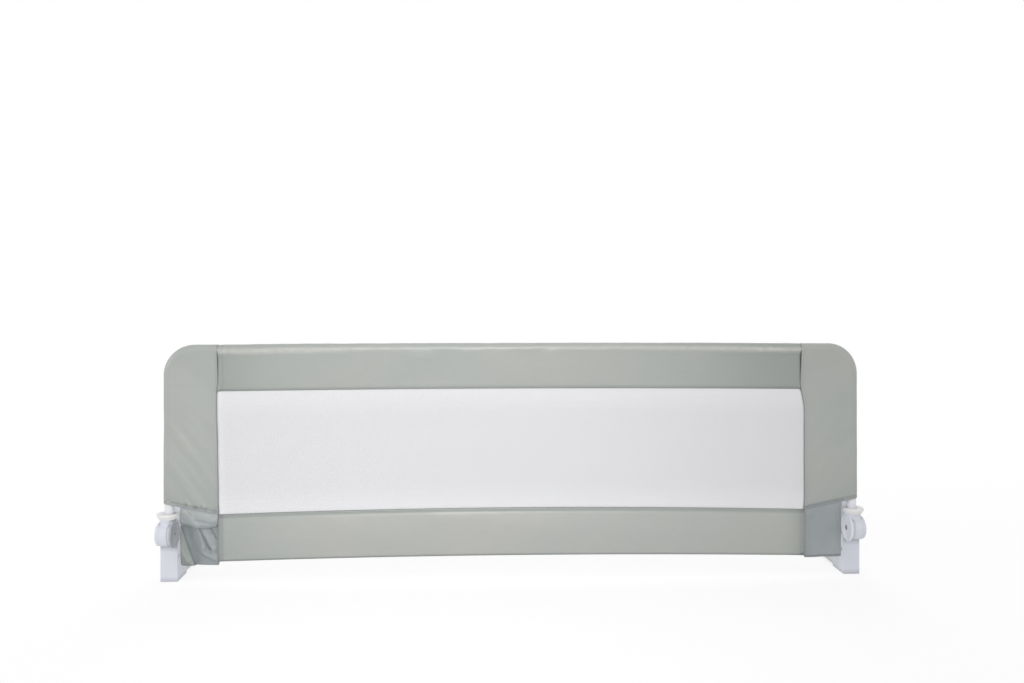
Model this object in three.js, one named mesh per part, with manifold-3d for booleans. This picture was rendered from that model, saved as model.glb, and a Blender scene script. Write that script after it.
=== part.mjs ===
// Folding bed guard rail: a fabric cover with a mesh window on a bent steel frame, which folds
// outward and down on two lockable hinges over arms that go under the mattress.
// Millimetres, +Z up, +X along the rail, +Y towards the mattress.

import * as THREE from "three";
import { mergeVertices } from "three/addons/utils/BufferGeometryUtils.js";
import Module from "manifold-3d";

const wasm = await Module();
wasm.setup();

// Whole rail
const railLength = 1200; // over the two upright tubes
const railHeight = 410; // from the bed base to the top of the cover
const hingeHeight = 86; // axis of both hinges above the bed base
const foldAngle = 160; // degrees from upright to fully down, where the lock ring meets the post

// Clearances
const fitGap = 0.3; // between pieces that touch
const runGap = 0.4; // between pieces that slide or turn
const overrun = 2; // how far a cutter passes its cut

// Steel tube frame
const tubeDiameter = 16;
const tubeWall = 1.2;
const bendRadius = 43; // to the centre line of the tube
const cornerReach = 152; // from an upright's axis to the joint with the top tube
const spigotLength = 90;
const spigotWall = 1.1;
const rivetDiameter = 4;
const rivetInset = 24; // from the tube joint

// Spring buttons of the tube joints
const buttonDiameter = 5;
const buttonInset = 22; // from the tube joint
const buttonStand = 1.8; // how far a button stands out of the tube
const buttonFlange = 1.2; // flange diameter is larger than the stem by twice this
const buttonFlangeThickness = 1;
const leafWidth = 5;
const leafThickness = 0.5;
const leafLength = 26;

// Fabric cover
const clothThickness = 0.8;
const sleeveEase = 0.4; // between tube and cloth
const hemThickness = 2.8; // where the layers are sewn together
const meshThickness = 1.2;
const endPanelWidth = 94;
const topBandDepth = 78.5;
const seamAllowance = 8; // width over which the layers are sewn together beside a seam
const hemRise = 54; // outer end of the slanted hem above the hinge axis
const hemSlant = 22; // how much lower the hem is at the seam
const bandSeamRise = 2; // window's lower seam above the lower end of the slanted hem
const bottomBandLow = 39.5;
const windowArch = 7; // how far the middle of the window's lower edge is drawn up
const bandArch = 6;
const flapDrop = 8; // a corner flap's lower edge below the bottom band
const flapGap = 7; // between a corner flap and the bracket beside it
const foldDepth = 4.5; // of the creases in the left corner flap
const smoothFoldDepth = 0.9; // of the creases in the right one
const foldPitch = 27;
const foldSlantShare = 0.45; // how far a crease moves across for each step down

// Hinge hub, which turns with the rail
const hubRadius = 20.5;
const hubWidth = 29;
const hubOffset = 5.1; // hub's middle outward of the tube's axis
const discRadius = 23.5;
const discThickness = 4.2;
const rimChamfer = 0.8;
const capThickness = 7.3; // cap's side, up to its domed face
const capStep = 0.5; // how much smaller the cap is than the barrel
const capRim = 3.5; // rounding between the cap's side and its face
const domeHeight = 1.6;
const capCavityRadius = 10;
const capCavityDepth = 3.5;
const neckOffset = 2.5; // neck's middle outward of the tube's axis
const neckFlangeRadius = 14.4;
const neckFlangeTop = 20.8; // above the hinge axis
const neckRadius = 13.4;
const neckTop = 26.3; // above the hinge axis
const socketWall = 2;
const socketTop = 35.5; // above the hinge axis
const socketDepth = 14.7;

// Hinge plate, fixed in the bracket
const plateThickness = 3;
const plateInset = 0.3; // plate's edge inside the barrel's surface
const legDepth = 12;
const legSetback = 2; // behind the post's front face
const legFoot = 30; // height of the plate's lower end
const legShoulder = 12; // below the hinge axis, at the leg's back
const legLean = Math.PI / 12; // where the leg's back edge meets the round of the plate
const platePinDiameter = 5;
const platePinRise = 12; // above the plate's lower end

// Hinge bolt and nut
const boltDiameter = 6;
const boltHeadDiameter = 10;
const boltHeadHeight = 2;
const nutFlats = 10;
const nutHeight = 5;
const screwSlotShare = 0.62; // width of a driver recess in its head's diameter
const screwSlotDepth = 1.2;

// Lock ring and plunger
const lockDrop = 4; // from the drawn, released place down into the notch
const lockLift = 4; // from the drawn place up
const ringRadius = 18.4;
const ringHeight = 9;
const ringSkirtHeight = 5.2;
const ringSkirtWall = 1.6;
const ringLip = 2; // height of the lip's rim
const ringFlareShare = 0.33; // straight foot of the skirt below its flare
const ringSwellShare = 0.6; // where the flare is half way out
const ringTopInset = 1.2;
const ringRise = 26.5; // ring's lower edge above the hinge axis
const plungerDiameter = 11;
const plungerLength = 35;
const lockPinDiameter = 2.2;
const springTurns = 7;
const springWire = 1.2;
const springDiameter = 9.6;
const springLength = 36;
const plugLength = 10;
const tubeScrewDiameter = 3;
const tubeScrewHead = 4.8;
const tubeScrewHeadHeight = 1.6;

// Moulded bracket
const postFront = 12; // behind the hinge axis
const postDepth = 28;
const saddleDrop = 16; // post's top below the hinge axis
const wallThickness = 6;
const wallRise = 64; // top of the rear wall above the hinge axis
const wallCorner = 12;
const shoeLength = 48;
const shoeHeight = 24;
const saddleGap = 0.8;

// Arms under the mattress
const armReach = 380; // from the hinge axis to the end of the cap
const armWidth = 25;
const armHeight = 16;
const armWall = 1.2;
const armLift = 1.5; // arm above the bed base
const armCornerShare = 0.35; // rounding of the arm's edges, as a share of half its height
const armSocketDepth = 30;
const capLength = 34;
const capWall = 2.5;
const armScrewInset = 7; // from the shoe's end
const armScrewDiameter = 5;
const armScrewHead = 9;
const armScrewHeadHeight = 2.6;
const armScrewLength = 10;

// Worked out from the sizes above
const tubeRadius = tubeDiameter / 2;
const tubeBore = tubeRadius - tubeWall;
const tubeX = railLength / 2 - tubeRadius;
const sleeveRadius = tubeRadius + sleeveEase + clothThickness;
const topTubeZ = railHeight - sleeveRadius;
const jointX = tubeX - cornerReach;
const seamX = tubeX + sleeveRadius - endPanelWidth;
const windowTop = railHeight - topBandDepth;
const endHemHigh = hingeHeight + hemRise;
const endHemLow = endHemHigh - hemSlant;
const bottomBandTop = endHemLow + bandSeamRise;
const flapLow = bottomBandLow - flapDrop;
const saddleTop = hingeHeight - saddleDrop;
const wallTop = hingeHeight + wallRise;
const plateRadius = hubRadius - plateInset;
const hubInner = tubeX + hubOffset - hubWidth / 2;
const hubOuter = hubInner + hubWidth;
const plateInner = hubInner + discThickness + runGap;
const plateOuter = plateInner + plateThickness;
const barrelEnd = hubOuter - capThickness;
const neckX = tubeX + neckOffset;
const tubeFoot = hingeHeight + socketTop - socketDepth;
const plungerFoot = hingeHeight + plateRadius + runGap;
const notchFloor = plateRadius - lockDrop - runGap;
const ringFoot = hingeHeight + ringRise;
const lockPinZ = ringFoot + (ringSkirtHeight + ringHeight) / 2;
const spigotRadius = tubeBore - fitGap;
const bracketBack = postFront + postDepth;
const armX = tubeX + hubOffset;
const armZ = armLift + armHeight / 2;
const armStart = postFront + shoeLength - armSocketDepth;
const armEnd = armReach - capWall - fitGap;
const armScrewY = postFront + shoeLength - armScrewInset;
const legFront = postFront + legSetback;

const steel = { color: 0xf1f2f5, roughness: 0.32, metalness: 0.0 };
const armPaint = { color: 0xe1e1de, roughness: 0.4, metalness: 0.0 };
const zinc = { color: 0xb4b6b8, roughness: 0.35, metalness: 1.0 };
const whitePlastic = { color: 0xd9dce6, roughness: 0.45, metalness: 0.0 };
const ringPlastic = { color: 0xe4e4e4, roughness: 0.5, metalness: 0.0 };
const greyCloth = { color: 0xb2b5b0, roughness: 0.9, metalness: 0.0 };
const darkCloth = { color: 0x959a9b, roughness: 0.92, metalness: 0.0 };
const whiteMesh = { color: 0xe2e2e5, roughness: 0.95, metalness: 0.0 };

const hubSides = 40;
const roundSides = 24;
const smallSides = 16;
const capRimSteps = 4;
const springSidesHalf = 3;
const flapGrids = { left: [12, 16], right: [5, 6] }; // columns and rows

// A closed geometry as a solid that can be joined and cut.
function solid(geometry) {
  const bare = geometry.clone();
  bare.deleteAttribute("normal");
  bare.deleteAttribute("uv");
  const merged = mergeVertices(bare);
  return new wasm.Manifold(
    new wasm.Mesh({
      numProp: 3,
      vertProperties: merged.attributes.position.array,
      triVerts: new Uint32Array(merged.index.array),
    }),
  );
}

function geometryOf(body) {
  const mesh = body.getMesh();
  return new THREE.BufferGeometry()
    .setAttribute("position", new THREE.BufferAttribute(mesh.vertProperties, 3))
    .setIndex(new THREE.BufferAttribute(mesh.triVerts, 1));
}

// Shape drawn in the two axes that follow the given one, pulled along it from one place to another.
function pulled(axis, shape, from, to, segments = roundSides / 4) {
  const length = to - from;
  const geometry = new THREE.ExtrudeGeometry(shape, {
    depth: length,
    bevelEnabled: false,
    curveSegments: segments,
  });
  const matrix = new THREE.Matrix4();
  const x = new THREE.Vector3(1, 0, 0);
  const y = new THREE.Vector3(0, 1, 0);
  const z = new THREE.Vector3(0, 0, 1);
  if (axis === "x") {
    matrix.makeBasis(y, z, x).setPosition(from, 0, 0); // drawn in Y and Z
  } else if (axis === "y") {
    matrix.makeBasis(x, z, y.negate()).setPosition(0, to, 0); // drawn in X and Z
  } else {
    matrix.setPosition(0, 0, from); // drawn in X and Y
  }
  return solid(geometry.applyMatrix4(matrix));
}

function polygon(points) {
  return new THREE.Shape(points.map(([x, y]) => new THREE.Vector2(x, y)));
}

function box(x0, x1, y0, y1, z0, z1) {
  const geometry = new THREE.BoxGeometry(x1 - x0, y1 - y0, z1 - z0);
  return solid(geometry.translate((x0 + x1) / 2, (y0 + y1) / 2, (z0 + z1) / 2));
}

// Round rod along an axis; centre holds its place on the other two axes, in their order.
function rod(axis, radius, from, to, centre, sides = roundSides) {
  const geometry = new THREE.CylinderGeometry(radius, radius, to - from, sides);
  const middle = (from + to) / 2;
  if (axis === "x") {
    geometry.rotateZ(-Math.PI / 2).translate(middle, centre[0], centre[1]);
  } else if (axis === "y") {
    geometry.translate(centre[0], middle, centre[1]);
  } else {
    geometry.rotateX(Math.PI / 2).translate(centre[0], centre[1], middle);
  }
  return solid(geometry);
}

function pipe(axis, radius, bore, from, to, centre, sides = smallSides) {
  const hole = rod(axis, bore, from - overrun, to + overrun, centre, sides);
  return rod(axis, radius, from, to, centre, sides).subtract(hole);
}

// Solid of revolution about an axis along X: profile points are [distance along X, radius].
function turned(profile, y, z, sides = roundSides) {
  const points = profile.map(([along, radius]) => new THREE.Vector2(radius, along));
  const geometry = new THREE.LatheGeometry(points, sides);
  return solid(geometry.rotateZ(-Math.PI / 2).translate(0, y, z));
}

// Solid of revolution about an upright axis: profile points are [radius, height].
function spun(profile, x, y, sides = roundSides) {
  const points = profile.map(([radius, height]) => new THREE.Vector2(radius, height));
  const geometry = new THREE.LatheGeometry(points, sides);
  return solid(geometry.rotateX(Math.PI / 2).translate(x, y, 0));
}

// Rounds an upright tube over into the top tube: foot and inner end are where it starts and stops.
function bentRod(radius, foot, innerEnd) {
  const circle = new THREE.Shape().absarc(0, 0, radius, 0, 2 * Math.PI);
  const bend = new THREE.ExtrudeGeometry(circle, {
    steps: 8,
    curveSegments: smallSides / 2,
    extrudePath: new BendCurve(),
  });
  const upright = rod("z", radius, foot, topTubeZ - bendRadius + fitGap, [tubeX, 0], smallSides);
  const top = rod("x", radius, innerEnd, tubeX - bendRadius + fitGap, [0, topTubeZ], smallSides);
  return solid(bend).add(upright).add(top);
}

class BendCurve extends THREE.Curve {
  getPoint(t, target = new THREE.Vector3()) {
    const angle = (t * Math.PI) / 2;
    return target.set(
      tubeX - bendRadius + bendRadius * Math.cos(angle),
      0,
      topTubeZ - bendRadius + bendRadius * Math.sin(angle),
    );
  }
}

function bentTube(foot, innerEnd) {
  return bentRod(tubeRadius, foot, innerEnd).subtract(
    bentRod(tubeBore, foot - overrun, innerEnd - overrun),
  );
}

// Height of the slanted end hem at a place along the rail.
function hemHeight(x) {
  const share = (x - seamX) / (tubeX + sleeveRadius - seamX);
  return endHemLow + (endHemHigh - endHemLow) * share;
}

// Half outline of a sleeve: round over the tube and tapering to the seam where its layers meet.
function sleeveShape(centre, radius, seam, seamHalf, sign) {
  const lean = Math.atan2(radius - seamHalf, Math.abs(centre - seam));
  const steps = 10;
  const points = [];
  for (let i = 0; i <= steps; i += 1) {
    const angle = Math.PI / 2 + lean - ((Math.PI + 2 * lean) * i) / steps;
    points.push([radius * Math.cos(angle), radius * Math.sin(angle)]);
  }
  const outline = points.map(([a, b]) => [centre + sign * a, b]);
  outline.push([seam, -seamHalf], [seam, seamHalf]);
  return outline;
}

// Cover body over an upright, its bend and the start of the top tube.
function endSleeve(radius, seam, seamHalf, foot, innerEnd, bandSeam) {
  const upright = polygon(sleeveShape(tubeX, radius, seam, seamHalf, 1));
  const uprightBody = pulled("z", upright, foot, topTubeZ);
  const top = sleeveShape(topTubeZ, radius, bandSeam, seamHalf, 1).map(([a, b]) => [b, a]);
  const topBody = pulled("x", polygon(top.reverse()), innerEnd, tubeX);
  const corner = new THREE.Shape()
    .moveTo(innerEnd, foot)
    .lineTo(tubeX, foot)
    .lineTo(tubeX, topTubeZ - bendRadius)
    .absarc(tubeX - bendRadius, topTubeZ - bendRadius, bendRadius, 0, Math.PI / 2)
    .lineTo(innerEnd, topTubeZ)
    .closePath();
  const inside = pulled("y", corner, -radius - overrun, radius + overrun);
  return uprightBody.add(topBody).intersect(inside).add(bentRod(radius, foot, innerEnd));
}

function endPanel() {
  const outer = endSleeve(
    sleeveRadius, seamX, hemThickness / 2, endHemLow - overrun, seamX, windowTop,
  );
  const hollow = endSleeve(
    sleeveRadius - clothThickness,
    seamX + seamAllowance,
    hemThickness / 2 - clothThickness,
    endHemLow - 2 * overrun,
    seamX - overrun,
    windowTop + hemThickness,
  );
  const outerEdge = tubeX + sleeveRadius + overrun;
  const below = polygon([
    [seamX - overrun, endHemLow - 3 * overrun],
    [outerEdge, endHemLow - 3 * overrun],
    [outerEdge, hemHeight(outerEdge)],
    [seamX - overrun, hemHeight(seamX - overrun)],
  ]);
  const cut = pulled("y", below, -sleeveRadius - overrun, sleeveRadius + overrun);
  return outer.subtract(hollow).subtract(cut);
}

function topBand() {
  const end = seamX - fitGap;
  const outer = sleeveShape(topTubeZ, sleeveRadius, windowTop, hemThickness / 2, 1);
  const inner = sleeveShape(
    topTubeZ, sleeveRadius - clothThickness, windowTop + hemThickness,
    hemThickness / 2 - clothThickness, 1,
  );
  const turn = (outline) => polygon(outline.map(([a, b]) => [b, a]).reverse());
  return pulled("x", turn(outer), -end, end).subtract(
    pulled("x", turn(inner), -end - overrun, end + overrun),
  );
}

// Flat cloth between two edges that arch up by their own amounts in the middle.
function archedSheet(half, low, lowArch, high, highArch, thickness) {
  const outline = new THREE.Shape()
    .moveTo(-half, low)
    .quadraticCurveTo(0, low + 2 * lowArch, half, low)
    .lineTo(half, high)
    .quadraticCurveTo(0, high + 2 * highArch, -half, high)
    .closePath();
  return pulled("y", outline, -thickness / 2, thickness / 2, 12);
}

// Corner flap: the back layer of the cover below the slanted hem, creased by the given depth.
function cornerFlap(creaseDepth, columns, rows) {
  const outerX = hubInner - flapGap;
  const positions = [];
  const faces = [];
  const backAt = (x) => {
    const slope = (sleeveRadius - hemThickness / 2) / (tubeX - seamX);
    return hemThickness / 2 + (x - seamX) * slope - clothThickness;
  };
  for (const side of [-1, 1]) {
    for (let row = 0; row <= rows; row += 1) {
      for (let column = 0; column <= columns; column += 1) {
        const x = seamX + ((outerX - seamX) * column) / columns;
        const top = hemHeight(x) - fitGap;
        const z = flapLow + ((top - flapLow) * row) / rows;
        const along = (outerX - x + (top - z) * foldSlantShare) / foldPitch;
        const free = Math.sin((Math.PI * column) / columns) * Math.sin((Math.PI * row) / rows);
        const crease = creaseDepth * free * Math.sin(2 * Math.PI * along);
        positions.push(x, backAt(x) + crease + (side * clothThickness) / 2, z);
      }
    }
  }
  const layer = (rows + 1) * (columns + 1);
  const at = (side, row, column) => side * layer + row * (columns + 1) + column;
  const quad = (a, b, c, d) => faces.push(a, b, c, a, c, d);
  for (let row = 0; row < rows; row += 1) {
    for (let column = 0; column < columns; column += 1) {
      quad(at(0, row, column), at(0, row, column + 1), at(0, row + 1, column + 1), at(0, row + 1, column));
      quad(at(1, row, column), at(1, row + 1, column), at(1, row + 1, column + 1), at(1, row, column + 1));
    }
  }
  for (let row = 0; row < rows; row += 1) {
    quad(at(0, row, 0), at(0, row + 1, 0), at(1, row + 1, 0), at(1, row, 0));
    quad(at(0, row, columns), at(1, row, columns), at(1, row + 1, columns), at(0, row + 1, columns));
  }
  for (let column = 0; column < columns; column += 1) {
    quad(at(0, 0, column), at(1, 0, column), at(1, 0, column + 1), at(0, 0, column + 1));
    quad(at(0, rows, column), at(0, rows, column + 1), at(1, rows, column + 1), at(1, rows, column));
  }
  return new THREE.BufferGeometry()
    .setAttribute("position", new THREE.Float32BufferAttribute(positions, 3))
    .setIndex(faces);
}

function bracket() {
  const side = polygon([
    [postFront, 0],
    [postFront + shoeLength, 0],
    [postFront + shoeLength, shoeHeight],
    [bracketBack + wallThickness, shoeHeight],
    [bracketBack, shoeHeight + wallThickness],
    [bracketBack, wallTop],
    [bracketBack - wallThickness, wallTop],
    [bracketBack - wallThickness, saddleTop],
    [postFront, saddleTop],
  ]);
  const front = new THREE.Shape()
    .moveTo(hubInner, 0)
    .lineTo(hubOuter, 0)
    .lineTo(hubOuter, wallTop - wallCorner)
    .absarc(hubOuter - wallCorner, wallTop - wallCorner, wallCorner, 0, Math.PI / 2)
    .absarc(hubInner + wallCorner, wallTop - wallCorner, wallCorner, Math.PI / 2, Math.PI)
    .closePath();
  const body = pulled("x", side, hubInner, hubOuter).intersect(
    pulled("y", front, 0, postFront + shoeLength + overrun, 5),
  );
  const saddle = rod(
    "x", discRadius + saddleGap, hubInner - overrun, hubOuter + overrun, [0, hingeHeight], hubSides,
  );
  const slot = box(
    plateInner - fitGap, plateOuter + fitGap, legFront - fitGap, legFront + legDepth + fitGap,
    legFoot - fitGap, saddleTop + overrun,
  );
  const pinHole = rod(
    "x", platePinDiameter / 2 + fitGap, hubInner - overrun, hubOuter + overrun,
    [legFront + legDepth / 2, legFoot + platePinRise], smallSides,
  );
  const armSocket = armBar(fitGap, armStart - fitGap, postFront + shoeLength + overrun);
  return body.subtract(saddle).subtract(slot).subtract(pinHole)
    .subtract(armSocket).subtract(armScrewHole(shoeHeight + overrun));
}

// Steel plate of the hinge, with a notch for the upright rail and one for the rail folded down.
function hingePlate() {
  const legBack = legFront + legDepth;
  const leg = polygon([
    [legFront, legFoot],
    [legBack, legFoot],
    [legBack, hingeHeight - legShoulder],
    [plateRadius * Math.cos(legLean), hingeHeight - plateRadius * Math.sin(legLean)],
    [0, hingeHeight],
    [legFront, hingeHeight - Math.sqrt(plateRadius ** 2 - legFront ** 2)],
  ]);
  const body = rod("x", plateRadius, plateInner, plateOuter, [0, hingeHeight], hubSides).add(
    pulled("x", leg, plateInner, plateOuter),
  );
  const notchHalf = plungerDiameter / 2 + runGap;
  const notch = box(
    plateInner - overrun, plateOuter + overrun, -notchHalf, notchHalf, notchFloor, plateRadius + overrun,
  );
  const atAngle = (degrees) => notch.rotate([degrees, 0, 0]).translate([0, 0, hingeHeight]);
  const boltHole = rod(
    "x", boltDiameter / 2 + runGap, plateInner - overrun, plateOuter + overrun, [0, hingeHeight],
  );
  const pinHole = rod(
    "x", platePinDiameter / 2 + fitGap, plateInner - overrun, plateOuter + overrun,
    [legFront + legDepth / 2, legFoot + platePinRise], smallSides,
  );
  return body.subtract(atAngle(0)).subtract(atAngle(foldAngle)).subtract(boltHole).subtract(pinHole);
}

// Turning part of the hinge: inner disc and barrel either side of the plate, joined by the neck.
function hingeHub() {
  const discOuter = hubInner + discThickness;
  const disc = turned([
    [hubInner, 0],
    [hubInner, discRadius - rimChamfer],
    [hubInner + rimChamfer, discRadius],
    [discOuter - rimChamfer, discRadius],
    [discOuter, discRadius - rimChamfer],
    [discOuter, 0],
  ], 0, hingeHeight, hubSides);
  const barrelStart = plateOuter + runGap;
  const barrel = turned([
    [barrelStart, 0],
    [barrelStart, hubRadius - rimChamfer],
    [barrelStart + rimChamfer, hubRadius],
    [barrelEnd, hubRadius],
    [barrelEnd, 0],
  ], 0, hingeHeight, hubSides);
  const neckBase = hingeHeight + hubRadius / 2;
  const neck = rod("z", neckFlangeRadius, neckBase, hingeHeight + neckFlangeTop, [neckX, 0])
    .add(rod("z", neckRadius, neckBase, hingeHeight + neckTop, [neckX, 0]))
    .add(rod("z", tubeRadius + socketWall, neckBase, hingeHeight + socketTop, [tubeX, 0]));
  const clear = rod(
    "x", plateRadius + 2 * runGap, discOuter, barrelStart, [0, hingeHeight], hubSides,
  );
  const neckZone = box(
    discOuter, barrelStart, -neckFlangeRadius, neckFlangeRadius, neckBase, hingeHeight + socketTop,
  );
  const capZone = rod(
    "x", hubRadius + 2 * fitGap, barrelEnd - fitGap, hubOuter + overrun, [0, hingeHeight], hubSides,
  );
  const rimZone = rod(
    "x", discRadius + overrun, discOuter, barrelStart, [0, hingeHeight], hubSides,
  ).subtract(neckZone);
  const tubeSocket = rod(
    "z", tubeRadius + fitGap, tubeFoot - fitGap, hingeHeight + socketTop + overrun, [tubeX, 0],
  );
  const plungerBore = rod(
    "z", plungerDiameter / 2 + runGap, hingeHeight + notchFloor, tubeFoot + overrun, [tubeX, 0],
  );
  const boltBore = rod(
    "x", boltDiameter / 2 + fitGap, hubInner - overrun, barrelEnd + overrun, [0, hingeHeight],
  );
  const headBore = rod(
    "x", boltHeadDiameter / 2 + fitGap, hubInner - overrun, hubInner + boltHeadHeight + fitGap,
    [0, hingeHeight],
  );
  const nutBore = rod(
    "x", nutFlats / Math.sqrt(3) + fitGap, barrelEnd - nutHeight / 2, barrelEnd + overrun, [0, hingeHeight],
  );
  const pinSlot = box(
    tubeX - ringRadius, tubeX + ringRadius,
    -lockPinDiameter / 2 - runGap, lockPinDiameter / 2 + runGap,
    lockPinZ - lockDrop - lockPinDiameter / 2 - runGap, hingeHeight + socketTop + overrun,
  );
  const screwHole = rod(
    "y", tubeScrewDiameter / 2 + fitGap, 0, neckRadius + overrun, [tubeX, tubeScrewZ()], smallSides,
  );
  const screwHeadHole = rod(
    "y", tubeScrewHead / 2 + fitGap, tubeScrewEnd() - tubeScrewHeadHeight - fitGap,
    neckRadius + overrun, [tubeX, tubeScrewZ()], smallSides,
  );
  return disc.add(barrel).add(neck.subtract(capZone)).subtract(clear).subtract(rimZone)
    .subtract(tubeSocket).subtract(plungerBore).subtract(boltBore).subtract(headBore).subtract(nutBore)
    .subtract(pinSlot).subtract(screwHole).subtract(screwHeadHole);
}

function tubeScrewZ() {
  return tubeFoot + tubeScrewHead / 2;
}

// Outer end of the screw, just inside the neck's round side.
function tubeScrewEnd() {
  const side = neckOffset + tubeScrewHead / 2 + fitGap;
  return Math.sqrt(neckRadius ** 2 - side ** 2) - fitGap;
}

function tubeScrew() {
  const end = tubeScrewEnd();
  const centre = [tubeX, tubeScrewZ()];
  const shank = rod(
    "y", tubeScrewDiameter / 2, plungerDiameter / 2 + runGap, end - fitGap, centre, smallSides,
  );
  const head = rod("y", tubeScrewHead / 2, end - tubeScrewHeadHeight, end, centre, smallSides);
  return shank.add(head);
}

function hubCap() {
  const start = barrelEnd + fitGap;
  const radius = hubRadius - capStep;
  const profile = [
    [start + capCavityDepth, 0],
    [start + capCavityDepth, capCavityRadius],
    [start, capCavityRadius],
    [start, radius],
  ];
  for (let i = 0; i <= capRimSteps; i += 1) {
    const angle = (i / capRimSteps) * (Math.PI / 2);
    profile.push([
      hubOuter - capRim * (1 - Math.sin(angle)),
      radius - capRim * (1 - Math.cos(angle)),
    ]);
  }
  profile.push([hubOuter + domeHeight, 0]);
  return turned(profile, 0, hingeHeight, hubSides);
}

function driverSlot(radius) {
  return radius * 2 * screwSlotShare;
}

function hingeBolt() {
  const start = hubInner + fitGap;
  const head = rod("x", boltHeadDiameter / 2, start, start + boltHeadHeight, [0, hingeHeight]);
  const shank = rod("x", boltDiameter / 2, start, barrelEnd + nutHeight / 2, [0, hingeHeight]);
  const across = driverSlot(boltHeadDiameter / 2) / 2;
  const recess = rod("x", across, start - overrun, start + screwSlotDepth, [0, hingeHeight], 6);
  return head.add(shank).subtract(recess);
}

function hingeNut() {
  const start = barrelEnd - nutHeight / 2 + fitGap;
  const nut = rod("x", nutFlats / Math.sqrt(3), start, start + nutHeight, [0, hingeHeight], 6);
  return nut.subtract(
    rod("x", boltDiameter / 2 + fitGap, start - overrun, start + nutHeight + overrun, [0, hingeHeight]),
  );
}

function platePin() {
  return rod(
    "x", platePinDiameter / 2, hubInner + fitGap, hubOuter - fitGap,
    [legFront + legDepth / 2, legFoot + platePinRise], smallSides,
  );
}

function lockRing() {
  const skirtRadius = neckRadius + runGap + ringSkirtWall;
  const body = spun([
    [0, ringFoot],
    [skirtRadius, ringFoot],
    [skirtRadius, ringFoot + ringSkirtHeight * ringFlareShare],
    [(skirtRadius + ringRadius) / 2, ringFoot + ringSkirtHeight * ringSwellShare],
    [ringRadius, ringFoot + ringHeight - 2 * ringLip],
    [ringRadius, ringFoot + ringHeight - ringLip],
    [ringRadius - ringTopInset, ringFoot + ringHeight],
    [0, ringFoot + ringHeight],
  ], neckX, 0, hubSides);
  const skirtBore = rod(
    "z", neckRadius + runGap, ringFoot - overrun, ringFoot + ringSkirtHeight, [neckX, 0], hubSides,
  );
  const tubeBoreCut = rod(
    "z", tubeRadius + socketWall + runGap, ringFoot - overrun, ringFoot + ringHeight + overrun, [tubeX, 0],
  );
  const pinHole = rod(
    "x", lockPinDiameter / 2 + fitGap / 2, tubeX - ringRadius - overrun, neckX + ringRadius - ringLip,
    [0, lockPinZ], 12,
  );
  return body.subtract(skirtBore).subtract(tubeBoreCut).subtract(pinHole);
}

function lockPin() {
  const reach = ringRadius - ringTopInset - ringLip;
  return rod("x", lockPinDiameter / 2, neckX - reach, neckX + reach - ringLip, [0, lockPinZ], 12);
}

function lockPlunger() {
  const body = rod(
    "z", plungerDiameter / 2, plungerFoot, plungerFoot + plungerLength, [tubeX, 0], roundSides,
  );
  return body.subtract(
    rod("x", lockPinDiameter / 2 + fitGap / 2, tubeX - tubeRadius, tubeX + tubeRadius, [0, lockPinZ], 12),
  );
}

class CoilCurve extends THREE.Curve {
  getPoint(t, target = new THREE.Vector3()) {
    const angle = 2 * Math.PI * springTurns * t;
    const radius = (springDiameter - springWire) / 2;
    const rise = springWire / 2 + (springLength - springWire) * t;
    return target.set(radius * Math.cos(angle), radius * Math.sin(angle), rise);
  }
}

function lockSpring() {
  const wire = new THREE.Shape().absarc(0, 0, springWire / 2, 0, 2 * Math.PI);
  const coil = new THREE.ExtrudeGeometry(wire, {
    steps: 8 * springTurns,
    curveSegments: springSidesHalf,
    extrudePath: new CoilCurve(),
  });
  return coil.translate(tubeX, 0, plungerFoot + plungerLength + fitGap);
}

function springPlug() {
  const foot = plungerFoot + plungerLength + springLength + 2 * fitGap;
  return rod("z", tubeBore - fitGap, foot, foot + plugLength, [tubeX, 0], smallSides);
}

function cornerTube() {
  const pinSlot = box(
    tubeX - tubeDiameter, tubeX + tubeDiameter,
    -lockPinDiameter / 2 - runGap, lockPinDiameter / 2 + runGap,
    lockPinZ - lockDrop - lockPinDiameter / 2 - runGap,
    lockPinZ + lockLift + lockPinDiameter / 2 + runGap,
  );
  const screwHole = rod(
    "y", tubeScrewDiameter / 2 + fitGap, 0, tubeDiameter, [tubeX, tubeScrewZ()], smallSides,
  );
  const rivetHole = rod(
    "y", rivetDiameter / 2 + fitGap, -tubeDiameter, tubeDiameter, [jointX + rivetInset, topTubeZ], smallSides,
  );
  return bentTube(tubeFoot, jointX + fitGap).subtract(pinSlot).subtract(screwHole).subtract(rivetHole);
}

function topTube() {
  let body = pipe("x", tubeRadius, tubeBore, -jointX, jointX, [0, topTubeZ]);
  for (const side of [-1, 1]) {
    body = body.subtract(
      rod(
        "z", buttonDiameter / 2 + fitGap, topTubeZ - tubeDiameter, topTubeZ,
        [side * (jointX - buttonInset), 0], smallSides,
      ),
    );
  }
  return body;
}

function spigot() {
  const body = pipe(
    "x", spigotRadius, spigotRadius - spigotWall, jointX - spigotLength / 2, jointX + spigotLength / 2,
    [0, topTubeZ],
  );
  const buttonHole = rod(
    "z", buttonDiameter / 2 + fitGap, topTubeZ - tubeDiameter, topTubeZ, [jointX - buttonInset, 0], smallSides,
  );
  const rivetHole = rod(
    "y", rivetDiameter / 2 + fitGap, -tubeDiameter, tubeDiameter, [jointX + rivetInset, topTubeZ], smallSides,
  );
  return body.subtract(buttonHole).subtract(rivetHole);
}

function spigotRivet() {
  const reach = tubeRadius - fitGap;
  return rod("y", rivetDiameter / 2, -reach, reach, [jointX + rivetInset, topTubeZ], smallSides);
}

// Height of the button's flange below the tube's axis, where it rests on the bore of the spigot.
function flangeDrop() {
  const half = buttonDiameter / 2 + buttonFlange;
  return Math.sqrt((spigotRadius - spigotWall) ** 2 - half ** 2) - fitGap;
}

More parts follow.
